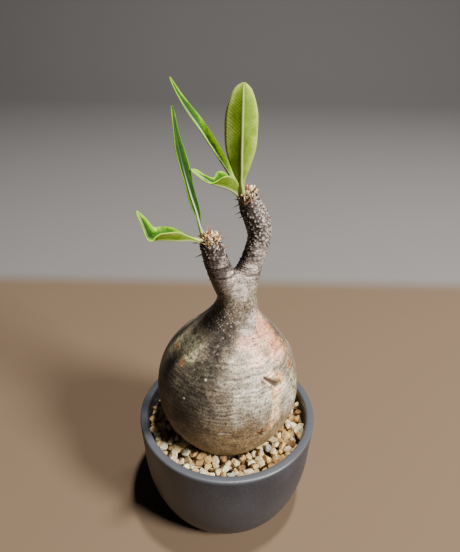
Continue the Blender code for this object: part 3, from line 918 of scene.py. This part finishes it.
spineLook = {
    "radius": 0.27 * mm,
    "profile": ((0.0, 1.0), (0.35, 0.78), (0.7, 0.45), (1.0, 0.08)),     # share of length, width
    "sides": 5,
    "sink": 0.5 * mm,
    "stub": (0.3 * mm, 0.8 * mm),
    "full": (1.8 * mm, 3.2 * mm),
    "fullFrom": 0.74,             # share of the arm's length above which spines stay whole
    "fullShare": 0.35,
    "bareFrom": 0.93,             # above this only the crown's spines stand
    "places": {"rightArm": 74, "leftArm": 56},
    "crown": 9,
    "crownLength": (2.2 * mm, 4.0 * mm),
    "leafClearance": 0.5 * mm,
    "crownCastFrom": 0.006,       # crown and scales are cast onto the skin from this far, in metres
    "scaleCastFrom": 0.02,
    "seed": 8,
    "thorns": [  # root in mm, heading, length in mm, and 0 for an old dark one to 1 for a young one
        ((3.2, 4.2, 151.5), (-0.8, -0.3, -0.45), 3.0, 0.0),
        ((4.2, 3.6, 149.0), (-0.8, -0.35, -0.5), 2.7, 0.0),
        ((3.0, 4.0, 153.3), (-0.9, -0.3, 0.1), 2.0, 0.1),
        ((4.6, 3.2, 147.0), (-0.9, -0.3, -0.3), 2.2, 0.0),
        ((-10.6, -7.6, 141.5), (-0.95, -0.2, -0.15), 3.2, 0.0),
        ((-10.3, -7.2, 136.5), (-0.9, -0.3, -0.45), 3.2, 0.0),
        ((-10.8, -8.0, 142.6), (-0.9, -0.2, 0.3), 1.8, 0.1),
        ((-5.0, -8.5, 143.5), (0.6, -0.3, 0.75), 4.6, 1.0),
        ((-4.2, -8.0, 142.3), (0.8, -0.2, 0.5), 4.4, 1.0),
        ((-7.0, -8.8, 144.0), (0.1, -0.2, 1.0), 4.0, 0.7),
        ((-3.4, -7.4, 139.5), (0.9, -0.3, 0.3), 3.0, 0.8),
        ((6.2, 3.5, 156.3), (0.15, -0.1, 1.0), 3.6, 0.7),
        ((9.4, 4.2, 152.6), (0.8, -0.2, 0.55), 3.2, 0.9),
        ((10.6, 4.0, 149.8), (0.9, -0.2, 0.3), 2.8, 0.8),
        ((12.2, 3.8, 146.3), (0.9, -0.2, 0.35), 2.2, 0.8)],
    "scaleCount": 112,
    "scaleSpread": 1.55,          # radians from the arm's heading to the last scale
    "scaleWidth": 0.31,           # half width, as a share of the length
    "scaleReach": 5.5 * mm,       # scales stand no farther than this from the middle of the tip
    "scaleSize": (0.9 * mm, 2.0 * mm),
    "scaleSink": 0.25 * mm,
    "scaleThickness": 0.06 * mm,
    "thornColours": ((0.030, 0.018, 0.014), (0.050, 0.030, 0.024)),     # base and point
    "youngColours": ((0.42, 0.23, 0.15), (0.36, 0.10, 0.07)),
}


def addSpine(bm, layers, root, heading, bend, length, radius, tone):
    # a slim cone that bends towards one side
    look = spineLook
    path = []
    for share, width in look["profile"]:
        reach = share * (length + look["sink"]) - look["sink"]
        place = root + heading * reach + bend * length * 0.35 * share * share
        path.append(Vector((*place, radius * width)))
    for ring, (share, _) in zip(pushRing(bm, path, look["sides"]), look["profile"]):
        for vert in ring:
            vert[layers["share"]] = share
            vert[layers["tone"]] = tone


def addTipScale(bm, layers, root, heading, size, rng):
    # a dry papery bract, cupped and bent
    grid = bmesh.ops.create_grid(bm, x_segments=2, y_segments=3, size=0.5)["verts"]
    side = heading.orthogonal().normalized()
    side = Matrix.Rotation(rng.uniform(0, 2 * math.pi), 3, heading) @ side
    out = side.cross(heading)
    twist = rng.uniform(-0.6, 0.6)
    ragged = rng.uniform(-0.3, 0.3)
    tone = rng.random()
    for vert in grid:
        share = vert.co.y + 0.5
        across = vert.co.x * 2
        width = spineLook["scaleWidth"] * size * (1 - 0.85 * share ** 2)
        length = size * share * (1 + ragged * across)
        vert[layers["share"]] = share
        vert[layers["tone"]] = tone
        bow = 0.18 * size * across * across + twist * size * share * share
        vert.co = root + heading * length + side * across * width + out * bow


def clearOf(trees, root, heading, length):
    return all(tree.find_nearest(root + heading * length * part)[3] > spineLook["leafClearance"]
               for tree in trees for part in (0.4, 1.0))


def spiralSide(along, number):
    return (Matrix.Rotation(number * goldenTurn, 3, along) @ along.orthogonal()).normalized()


def addArmSpines(bm, layers, arm, surface, leafTrees, rng):
    # short stubs up the arm, and whole spines near its tip
    look = spineLook
    for place, out, along, share in armSites(bodyLook[arm], look["places"][arm], rng):
        if share > look["bareFrom"]:
            continue
        hit = surface.find_nearest(place)[0]
        whole = rng.random() < look["fullShare"] and share > look["fullFrom"]
        for _ in range(2 if whole else 1):  # whole spines stand in pairs
            length = rng.uniform(*(look["full"] if whole else look["stub"]))
            heading = (out + along * rng.uniform(-0.25, 0.45)
                       + out.cross(along) * rng.uniform(-0.45, 0.45)).normalized()
            if clearOf(leafTrees, hit, heading, length):
                radius = look["radius"] * rng.uniform(0.85, 1.15)
                addSpine(bm, layers, hit, heading, along * rng.uniform(-0.3, 0.7), length,
                         radius, 0.0)


def addCrown(bm, layers, tip, along, surface, leafTrees, rng):
    # young spines spread round the tip
    look = spineLook
    for number in range(look["crown"]):
        lean = 0.2 + 0.8 * (number + 0.5) / look["crown"]
        heading = (along + spiralSide(along, number) * lean).normalized()
        hit = surface.ray_cast(tip + heading * look["crownCastFrom"], -heading)[0]
        length = rng.uniform(*look["crownLength"])
        if hit is not None and clearOf(leafTrees, hit, heading, length):
            addSpine(bm, layers, hit, heading, along * rng.uniform(0.1, 0.5), length,
                     look["radius"] * 0.8, rng.uniform(0.6, 1.0))


def addTipScales(bm, layers, centre, along, surface, rng):
    look = spineLook
    for number in range(look["scaleCount"]):
        side = spiralSide(along, number)
        back = look["scaleSpread"] * math.sqrt((number + 0.5) / look["scaleCount"])
        ray = along * math.cos(back) + side * math.sin(back)
        hit, normal = surface.ray_cast(centre + ray * look["scaleCastFrom"], -ray)[:2]
        if hit is not None and (hit - centre).length < look["scaleReach"]:
            heading = (along + normal * rng.uniform(0.1, 0.7) + side * 0.15).normalized()
            addTipScale(bm, layers, hit - heading * look["scaleSink"], heading,
                        rng.uniform(*look["scaleSize"]), rng)


def makeSpineMaterial():
    look = spineLook
    material, tree = newMaterial("spine horn", 0.45)
    share = addAttribute(tree, "share")
    thorn, young = [addRamp(tree, share, [(0.2, look[name][0]), (0.9, look[name][1])])
                    for name in ("thornColours", "youngColours")]
    colour = addMix(tree, addAttribute(tree, "tone"), thorn, young)
    streak = addNoise(tree, objectCoordinates(tree), 1600.0, 2.0)
    shade = addRamp(tree, streak, [(0.35, 0.55), (0.65, 1.2)])
    colour = addMix(tree, 0.7, colour, shade, 'MULTIPLY')
    return finishMaterial(material, colour, streak, 0.06 * mm)


def makeScaleMaterial():
    material, tree = newMaterial("dry bract", 0.7, 0.3)
    mottle = addNoise(tree, objectCoordinates(tree), 700.0, 2.0)
    mixed = addMath(tree, 'ADD', addAttribute(tree, "tone"), addMath(tree, 'SUBTRACT', mottle, 0.5))
    pale = addRamp(tree, mixed, [(0.08, (0.06, 0.034, 0.020)), (0.26, (0.40, 0.225, 0.085)),
                                 (0.50, (0.72, 0.56, 0.29)), (0.90, (0.86, 0.77, 0.52))])
    edge = addRamp(tree, addAttribute(tree, "share"), [(0.0, 0.20), (0.5, 0.90), (1.0, 1.0)])
    colour = addMix(tree, 1.0, pale, edge, 'MULTIPLY')
    return finishMaterial(material, colour, mottle, 0.05 * mm)


def buildSpines(surface, leafTrees):
    look = spineLook
    rng = random.Random(look["seed"])
    spines, scales = bmesh.new(), bmesh.new()
    spineLayers, scaleLayers = [{name: bm.verts.layers.float.new(name) for name in ("share", "tone")}
                                for bm in (spines, scales)]
    upwards = Vector((0, 0, 0.3))
    for root, heading, length, tone in look["thorns"]:
        hit = surface.find_nearest(Vector(root) * mm)[0]
        addSpine(spines, spineLayers, hit, Vector(heading).normalized(), upwards, length * mm,
                 look["radius"], tone)
    for arm in look["places"]:
        stations = [Vector(item[:3]) * mm for item in bodyLook[arm]]
        along = (stations[-1] - stations[-4]).normalized()
        addArmSpines(spines, spineLayers, arm, surface, leafTrees, rng)
        addCrown(spines, spineLayers, stations[-1], along, surface, leafTrees, rng)
        addTipScales(scales, scaleLayers, stations[-3], along, surface, rng)
    bmesh.ops.recalc_face_normals(spines, faces=spines.faces)
    bmesh.ops.solidify(scales, geom=scales.faces, thickness=look["scaleThickness"])
    bmesh.ops.recalc_face_normals(scales, faces=scales.faces)
    for name, bm, material in (("spines", spines, makeSpineMaterial()),
                               ("tipScales", scales, makeScaleMaterial())):
        piece = addObject(name, meshFrom(bm, name))
        finishPiece(piece, material, "caudex")
        print(name + ":", len(piece.data.polygons), "faces")


leafLook = {
    "thickness": 0.42 * mm,
    "stalkThickness": 1.0 * mm,
    "sink": 0.5 * mm,
    "foldRounding": 0.15 * mm,
    "ribWidth": 0.36 * mm,
    "ribHeight": 0.38 * mm,
    "across": 20,
    "spans": 10,
    "stalk": (0.40, 0.46, 0.20),
    "ribEnd": {"leaf_left_upright": 0.50, "leaf_right_long": 0.75},     # where the pale rib fades
    # at the foot and at the tip of the blade, above 0 is a deeper green; the long leaf's paler foot
    # is painted light where the upright leaf shades it
    "depth": {"leaf_left_upright": (0.25, 0.22), "leaf_right_long": (-0.22, 0.09)},
    "wave": {"leaf_right_long": 0.07 * mm},     # how much a margin waves, where not the usual
    "usualWave": 0.22 * mm,
    "top": {"deep": (0.011, 0.034, 0.008), "middle": (0.030, 0.110, 0.004),
            "edge": (0.25, 0.46, 0.012), "vein": (0.05, 0.14, 0.010), "rib": (0.60, 0.70, 0.45),
            "veins": 0.20, "roughness": 0.62, "gloss": 0.05},
    "under": {"deep": (0.088, 0.165, 0.006), "middle": (0.190, 0.305, 0.022),
              "edge": (0.38, 0.49, 0.090), "vein": (0.100, 0.160, 0.005),
              "rib": (0.48, 0.55, 0.20), "veins": 0.34, "roughness": 0.55, "gloss": 0.16},
}

# each station: x, y, z and half width in mm, the way the upper side faces, and the fold in degrees
leafStations = {
    "leaf_right_upright": [
        (4.3, 2.6, 155.9, 0.7, -0.14, 1, 0.1, 20), (3.7, 0.9, 161.0, 1.4, -0.14, 1, 0.1, 30),
        (3.6, -0.6, 165.3, 3.3, -0.14, 1, 0.1, 30), (3.5, -1.8, 169.9, 4.95, -0.14, 1, 0.1, 30),
        (3.5, -2.5, 174.5, 5.95, -0.14, 1, 0.1, 30), (3.5, -3.0, 179.5, 6.15, -0.14, 1, 0.1, 30),
        (3.5, -3.0, 184.9, 5.85, -0.14, 1, 0.15, 29), (3.5, -2.6, 189.7, 4.45, -0.14, 1, 0.2, 27),
        (3.5, -2.0, 192.8, 2.8, -0.14, 1, 0.2, 22), (3.5, -1.6, 194.4, 0.5, -0.14, 1, 0.2, 20)],
    "leaf_right_long": [
        (4.0, 6.5, 155.7, 0.7, 0.86, -0.3, 0.4, 25), (0.8, 5.6, 160.3, 1.3, 0.86, -0.3, 0.4, 32),
        (-2.5, 4.8, 165.7, 2.5, 0.86, -0.3, 0.4, 34), (-6.7, 3.8, 172.4, 3.3, 0.86, -0.3, 0.4, 34),
        (-10.9, 2.8, 179.1, 3.1, 0.86, -0.3, 0.4, 33), (-14.8, 1.8, 185.1, 2.5, 0.87, -0.3, 0.4, 32),
        (-17.8, 1.1, 190.5, 1.6, 0.88, -0.3, 0.4, 28), (-19.8, 0.7, 195.3, 0.3, 0.88, -0.3, 0.4, 20)],
    "leaf_right_small": [
        (2.9, 3.9, 155.0, 0.7, 0.3, 0.2, 1, 55), (0.6, 1.3, 157.8, 3.3, 0.3, 0.2, 1, 72),
        (-2.2, -1.3, 160.0, 4.9, 0.3, 0.2, 1, 76), (-4.9, -3.5, 161.6, 4.7, 0.3, 0.1, 1, 74),
        (-6.1, -4.4, 162.3, 2.4, 0.35, -0.1, 1, 66), (-7.3, -5.2, 163.2, 1.6, 0.45, -0.4, 0.8, 44),
        (-9.2, -6.4, 164.8, 1.5, 0.5, -0.5, 0.7, 30), (-11.4, -7.6, 166.9, 1.3, 0.5, -0.5, 0.7, 24),
        (-13.1, -8.5, 168.4, 0.3, 0.5, -0.5, 0.7, 20)],
    "leaf_left_upright": [
        (-9.7, -6.2, 143.4, 0.7, 0.9, -0.4, 0.1, 25), (-10.7, -7.0, 147.6, 1.0, 0.91, -0.4, 0.1, 22),
        (-11.7, -8.0, 152.9, 1.8, 0.91, -0.4, 0.08, 21),
        (-13.5, -9.0, 159.8, 2.6, 0.91, -0.4, 0.08, 21),
        (-15.3, -10.0, 168.1, 2.8, 0.91, -0.4, 0.08, 21),
        (-16.8, -10.5, 176.0, 2.4, 0.91, -0.4, 0.08, 20),
        (-17.8, -10.5, 183.1, 1.5, 0.91, -0.4, 0.1, 18),
        (-18.2, -10.2, 188.6, 0.3, 0.91, -0.4, 0.1, 12)],
    "leaf_left_folded": [
        (-9.8, -9.2, 142.9, 0.7, 0, 0.15, 1, 30), (-13.6, -11.0, 144.1, 1.5, 0, 0.15, 1, 60),
        (-18.5, -13.0, 144.8, 4.3, 0, 0.15, 1, 66), (-22.7, -15.0, 146.0, 4.8, -0.1, 0.0, 1, 62),
        (-25.4, -16.2, 146.5, 4.5, -0.1, -0.1, 0.95, 56),
        (-27.3, -16.9, 147.5, 4.0, 0.5, -0.3, 0.8, 50),
        (-28.1, -17.3, 150.4, 3.1, 0.85, -0.45, 0.4, 42),
        (-29.0, -17.8, 154.0, 1.9, 0.85, -0.45, 0.3, 36),
        (-30.2, -18.0, 157.5, 0.3, 0.85, -0.45, 0.3, 30)],
}


def foldBlade(bm, depthLayer, name, ribs, turns):
    # the flat grid goes along the midrib, folded there and waved at its margins
    look = leafLook
    last = len(ribs) - 1
    footDepth, tipDepth = look["depth"].get(name, (0.0, 0.0))
    waving = look["wave"].get(name, look["usualWave"])
    spots = {}
    for vert in bm.verts:
        share, across = vert.co.y + 0.5, 2 * vert.co.x
        vert[depthLayer] = footDepth + (tipDepth - footDepth) * ease(0.2, 0.75, share)
        across = math.copysign(abs(across) ** 1.5, across)  # closer rows beside the midrib
        index = round(share * last)
        here, turn = ribs[index], turns[index]
        along = (ribs[min(index + 1, last)].xyz - ribs[max(index - 1, 0)].xyz).normalized()
        up = (turn.xyz - along * turn.xyz.dot(along)).normalized()
        side = along.cross(up)
        lift = math.radians(turn.w) * (1.0 - 0.15 * abs(across))
        reach = here.w * across
        height = math.hypot(reach * math.sin(lift), look["foldRounding"]) - look["foldRounding"]
        wave = waving * across * across * math.sin(19 * share + 2.5 * across) * min(1, 6 * share)
        vert.co = here.xyz + side * reach * math.cos(lift) + up * (height + wave)
        spots[vert] = (share, across, up)
    bm.normal_update()
    middle = max(bm.verts, key=lambda vert: -abs(spots[vert][0] - 0.5) - abs(spots[vert][1]))
    if middle.normal.dot(spots[middle][2]) < 0:
        bmesh.ops.reverse_faces(bm, faces=bm.faces)
        bm.normal_update()
    return spots


def thickenBlade(bm, uv, ribLayer, name, ribs, spots):
    # a second skin below the first, with the midrib raised on it, joined round the rim
    look = leafLook
    ribEnd = look["ribEnd"].get(name, 1.0)
    upper, upperFaces = list(bm.verts), set(bm.faces)
    copied = bmesh.ops.duplicate(bm, geom=bm.verts[:] + bm.edges[:] + bm.faces[:])
    partner = copied["vert_map"]
    lowerFaces = [item for item in copied["geom"] if isinstance(item, bmesh.types.BMFace)]
    bmesh.ops.reverse_faces(bm, faces=lowerFaces)
    for vert in upper:
        share, across, _ = spots[vert]
        normal = vert.normal.copy()
        stalk = 1 - ease(0.02, 0.16, share)
        edge = 1 - 0.45 * across ** 4
        half = 0.5 * (look["thickness"] * edge * (1 - stalk) + look["stalkThickness"] * stalk)
        distance = abs(across) * ribs[round(share * (len(ribs) - 1))].w
        vert[ribLayer] = math.exp(-(distance / (look["ribWidth"] * (1.35 - 1.15 * share))) ** 2)
        partner[vert][ribLayer] = vert[ribLayer]
        spots[partner[vert]] = spots[vert]
        ridge = vert[ribLayer] * look["ribHeight"] * (1 - 0.75 * share)
        if ribEnd < 1:
            vert[ribLayer] *= 1 - 0.9 * ease(ribEnd - 0.15, ribEnd + 0.15, share)
        centre = vert.co.copy()
        vert.co = centre + normal * (half - 0.25 * ridge)
        partner[vert].co = centre - normal * (half + ridge)
    bmesh.ops.bridge_loops(bm, edges=[edge for edge in bm.edges if edge.is_boundary])
    for face in lowerFaces:
        face.material_index = 1
    for face in set(bm.faces) - upperFaces - set(lowerFaces):
        for loop in face.loops:
            loop[uv].uv = (0.0, spots[loop.vert][0])
    bmesh.ops.recalc_face_normals(bm, faces=bm.faces)


def buildLeaf(name, surface, topMaterial, underMaterial):
    look = leafLook
    stations = leafStations[name]
    ribs = [Vector(item[:4]) * mm for item in stations]
    hit, normal, _, _ = surface.find_nearest(ribs[0].xyz)
    ribs[0] = Vector((*(hit - normal * look["sink"]), ribs[0].w))
    ribs = smoothPath(ribs, look["spans"])
    turns = smoothPath([Vector(item[4:]) for item in stations], look["spans"])
    bm = bmesh.new()
    uv = bm.loops.layers.uv.new("UVMap")
    ribLayer = bm.verts.layers.float.new("rib")
    depthLayer = bm.verts.layers.float.new("depth")
    bmesh.ops.create_grid(bm, x_segments=look["across"], y_segments=len(ribs) - 1, size=0.5)
    for face in bm.faces:
        for loop in face.loops:
            loop[uv].uv = (loop.vert.co.x + 0.5, loop.vert.co.y + 0.5)
    spots = foldBlade(bm, depthLayer, name, ribs, turns)
    thickenBlade(bm, uv, ribLayer, name, ribs, spots)
    pieceName = name.replace("leaf_", "blade_")
    leaf = addObject(pieceName, meshFrom(bm, pieceName))
    finishPiece(leaf, topMaterial, name)
    leaf.data.materials.append(underMaterial)
    return leaf


def makeLeafMaterial(name, tint):
    material, tree = newMaterial(name, tint["roughness"], tint["gloss"])
    blade = splitAxes(tree, addNode(tree, "ShaderNodeUVMap", uv_map="UVMap").outputs["UV"])
    across = addMath(tree, 'ABSOLUTE', addMath(tree, 'SUBTRACT', blade["X"], 0.5))
    place = objectCoordinates(tree)
    mottle = addNoise(tree, place, 200.0, 4.0, 0.6)
    fine = addNoise(tree, place, 1500.0, 2.0, 0.6)
    # deep green beside the midrib, paler and yellower out to the margin
    uneven = addMath(tree, 'MULTIPLY', addMath(tree, 'SUBTRACT', mottle, 0.5), 0.55)
    nearTip = addRamp(tree, blade["Y"], [(0.72, 0.0), (1.0, 0.16)])
    outward = addMath(tree, 'ADD', addMath(tree, 'ADD', across, uneven), nearTip)
    outward = addMath(tree, 'SUBTRACT', outward, addAttribute(tree, "depth"))
    colour = addRamp(tree, outward, [(0.10, tint["deep"]), (0.34, tint["middle"]),
                                     (0.50, tint["edge"])])
    # side veins leave the midrib and lean towards the tip
    slant = addMath(tree, 'MULTIPLY', across, -9.0)
    step = addMath(tree, 'MULTIPLY', blade["Y"], 42.0)
    wander = addMath(tree, 'MULTIPLY', mottle, 1.5)
    phase = addMath(tree, 'ADD', addMath(tree, 'ADD', slant, step), wander)
    beat = addMath(tree, 'PINGPONG', phase, 0.5)
    veins = addRamp(tree, beat, [(0.0, 1.0), (0.18, 0.3), (0.5, 0.0)])
    colour = addMix(tree, addMath(tree, 'MULTIPLY', veins, tint["veins"]), colour, tint["vein"])
    speck = addRamp(tree, fine, [(0.36, 0.75), (0.6, 1.15)])
    colour = addMix(tree, 0.6, colour, speck, 'MULTIPLY')
    margin = addRamp(tree, across, [(0.468, 0.0), (0.494, 0.75)])
    colour = addMix(tree, margin, colour, tint["edge"])
    colour = addMix(tree, addAttribute(tree, "rib"), colour, tint["rib"])
    stalk = addRamp(tree, blade["Y"], [(0.02, 0.9), (0.12, 0.0)])
    colour = addMix(tree, stalk, colour, leafLook["stalk"])
    relief = addMath(tree, 'ADD', addMath(tree, 'MULTIPLY', veins, -1.0),
                     addMath(tree, 'MULTIPLY', fine, 0.5))
    return finishMaterial(material, colour, relief, 0.03 * mm)


def treeOf(item):
    bm = bmesh.new()
    bm.from_mesh(item.data)
    tree = BVHTree.FromBMesh(bm)
    bm.free()
    return tree


leafTop = makeLeafMaterial("leaf upper side", leafLook["top"])
leafUnder = makeLeafMaterial("leaf underside", leafLook["under"])
leaves = [buildLeaf(name, bodySurface, leafTop, leafUnder) for name in leafStations]
print("leaves:", len(leaves))
buildSpines(bodySurface, [treeOf(leaf) for leaf in leaves])


gravelLook = {
    "bedTop": 43.0 * mm,
    "bedBottom": 41.3 * mm,
    "bedInside": 20.5 * mm,
    "bedRings": 15,               # 1 mm apart
    "bedSteps": 160,
    "bedRoughness": 0.45 * mm,
    "bodyGap": 0.15 * mm,
    "topLimit": 47.8 * mm,
    "radius": (1.35 * mm, 2.55 * mm),
    "bigShare": 0.08,
    "bigGrowth": 1.2,
    "tries": 12000,
    "seed": 4,
    "innerRadius": 18 * mm,
    "wallRadius": 35.9 * mm,
    "clearance": 0.25 * mm,
    "packing": 0.84,              # 1 for stones that just touch
    "facets": 11,
    "facetGrowth": 1.22,          # makes up for what the facets take off
    "chipAngle": 13,              # faces that meet at less than this, in degrees, are one chip
    "tones": [(0.0, (0.20, 0.105, 0.040)), (0.12, (0.42, 0.260, 0.100)), (0.36, (0.56, 0.39, 0.175)),
              (0.62, (0.66, 0.52, 0.290)), (0.95, (0.74, 0.65, 0.44)), (0.985, (0.30, 0.32, 0.29))],
    "grit": ((0.10, 0.065, 0.035), (0.24, 0.17, 0.10)),
}


def addStone(bm, tone, centre, radius, rng):
    # a ball chipped flat on many sides
    look = gravelLook
    made = bmesh.ops.create_icosphere(bm, subdivisions=2, radius=1.0)["verts"]
    cuts = []
    for _ in range(look["facets"]):
        cut = Vector((rng.gauss(0, 1), rng.gauss(0, 1), rng.gauss(0, 1))).normalized()
        cuts.append((cut, rng.uniform(0.50, 0.82)))
    stretch = Vector((rng.uniform(0.9, 1.35), rng.uniform(0.8, 1.1), rng.uniform(0.75, 1.05)))
    turn = Matrix.Rotation(rng.uniform(0, 2 * math.pi), 3, 'Z')
    turn = turn @ Matrix.Rotation(rng.uniform(-0.7, 0.7), 3, 'X')
    shade = rng.random()
    for vert in made:
        point = vert.co.copy()
        for cut, depth in cuts:
            over = point.dot(cut) - depth
            if over > 0:
                point -= cut * over
        point *= 1 + 0.14 * noise.noise(point * 2.2 + centre * 4000)
        vert.co = centre + turn @ (point * stretch) * radius * look["facetGrowth"]
        vert[tone] = shade


def restHeight(x, y, radius, placed):
    # the height at which a stone rests on the bed and on the stones already there
    height = gravelLook["bedTop"] + 0.45 * radius
    for other, size in placed:
        flat = math.hypot(x - other.x, y - other.y)
        touch = gravelLook["packing"] * (radius + size)
        if flat < touch:
            height = max(height, other.z + math.sqrt(touch * touch - flat * flat))
    return height


def placeStones(surface, rng):
    # stones drop one by one at chance places between the plant and the pot's wall
    look = gravelLook
    placed = []
    for _ in range(look["tries"]):
        radius = rng.uniform(*look["radius"])
        if rng.random() < look["bigShare"]:
            radius *= look["bigGrowth"]
        farthest = look["wallRadius"] - 0.9 * radius
        distance = math.sqrt(rng.uniform(look["innerRadius"] ** 2, farthest ** 2))
        angle = rng.uniform(0, 2 * math.pi)
        x, y = distance * math.cos(angle), distance * math.sin(angle)
        height = restHeight(x, y, radius, placed)
        if height > look["topLimit"] - 0.6 * radius:
            continue
        centre = Vector((x, y, height))
        hit, normal, _, _ = surface.find_nearest(centre)
        if (centre - hit).dot(normal) >= 0.82 * radius + look["clearance"]:
            placed.append((centre, radius))
    return placed


def makeStoneMaterial():
    material, tree = newMaterial("gravel stone", 0.82, 0.3)
    colour = addRamp(tree, addAttribute(tree, "tone"), gravelLook["tones"])
    place = objectCoordinates(tree)
    mottle = addNoise(tree, place, 520.0, 4.0, 0.65)
    stain = addRamp(tree, mottle, [(0.34, (0.48, 0.36, 0.22)), (0.50, (0.95, 0.93, 0.88)),
                                   (0.68, (1.25, 1.25, 1.2))])
    colour = addMix(tree, 0.9, colour, stain, 'MULTIPLY')
    grit = addNoise(tree, place, 2600.0, 2.0, 0.6)
    dots = addRamp(tree, grit, [(0.36, 0.5), (0.46, 1.0)])
    colour = addMix(tree, 0.6, colour, dots, 'MULTIPLY')
    relief = addMath(tree, 'ADD', mottle, addMath(tree, 'MULTIPLY', grit, 0.4))
    return finishMaterial(material, colour, relief, 0.22 * mm)


def makeSoilMaterial(name, deep, pale):
    material, tree = newMaterial(name, 0.95, 0.2)
    place = objectCoordinates(tree)
    grit = addNoise(tree, place, 900.0, 4.0, 0.7)
    colour = addRamp(tree, grit, [(0.35, deep), (0.68, pale)])
    crumbs = addSpeckle(tree, place, 500.0, 0.5)
    colour = addMix(tree, crumbs, colour, (0.30, 0.22, 0.14))
    return finishMaterial(material, colour, addMath(tree, 'ADD', grit, crumbs), 0.5 * mm)


def buildGravel(surface):
    look = gravelLook
    rng = random.Random(look["seed"])
    bm = bmesh.new()
    tone = bm.verts.layers.float.new("tone")
    placed = placeStones(surface, rng)
    for centre, radius in placed:
        addStone(bm, tone, centre, radius, rng)
    bm.normal_update()
    bmesh.ops.dissolve_limit(bm, angle_limit=math.radians(look["chipAngle"]), verts=bm.verts,
                             edges=bm.edges)
    bmesh.ops.recalc_face_normals(bm, faces=bm.faces)
    stones = addObject("gravelStones", meshFrom(bm, "gravelStones"))
    finishPiece(stones, makeStoneMaterial(), "gravel", 24)
    print("gravel:", len(placed), "stones,", len(stones.data.polygons), "faces")


def buildBed(surface):
    # the gritty floor that shows dark between the stones
    look = gravelLook
    outline = [(look["bedInside"], look["bedBottom"]),
               (look["wallRadius"] - 0.6 * mm, look["bedBottom"])]
    outline += [(look["wallRadius"] - 0.4 * mm - ring * mm, look["bedTop"])
                for ring in range(look["bedRings"])]
    bm = spinProfile(outline, look["bedSteps"], True)
    bm.normal_update()
    for vert in bm.verts:
        if vert.co.z > look["bedTop"] - 0.01 * mm:
            vert.co.z += look["bedRoughness"] * noise.noise(vert.co * 900) - 0.2 * mm
            hit, normal, _, _ = surface.find_nearest(vert.co)
            inside = (vert.co - hit).dot(normal)
            if inside < look["bodyGap"]:
                vert.co += Vector((normal.x, normal.y, 0)) * (look["bodyGap"] - inside)
    bed = addObject("gravelBed", meshFrom(bm, "gravelBed"))
    finishPiece(bed, makeSoilMaterial("grit bed", *look["grit"]), "gravel")


buildGravel(bodySurface)
buildBed(bodySurface)


soilLook = {"deep": (0.045, 0.030, 0.018), "pale": (0.14, 0.095, 0.055)}
soil = frame["nodes"]["soil"]
soil.data.materials.clear()
soil.data.materials.append(makeSoilMaterial("potting mix", soilLook["deep"], soilLook["pale"]))
print("soil dressed")
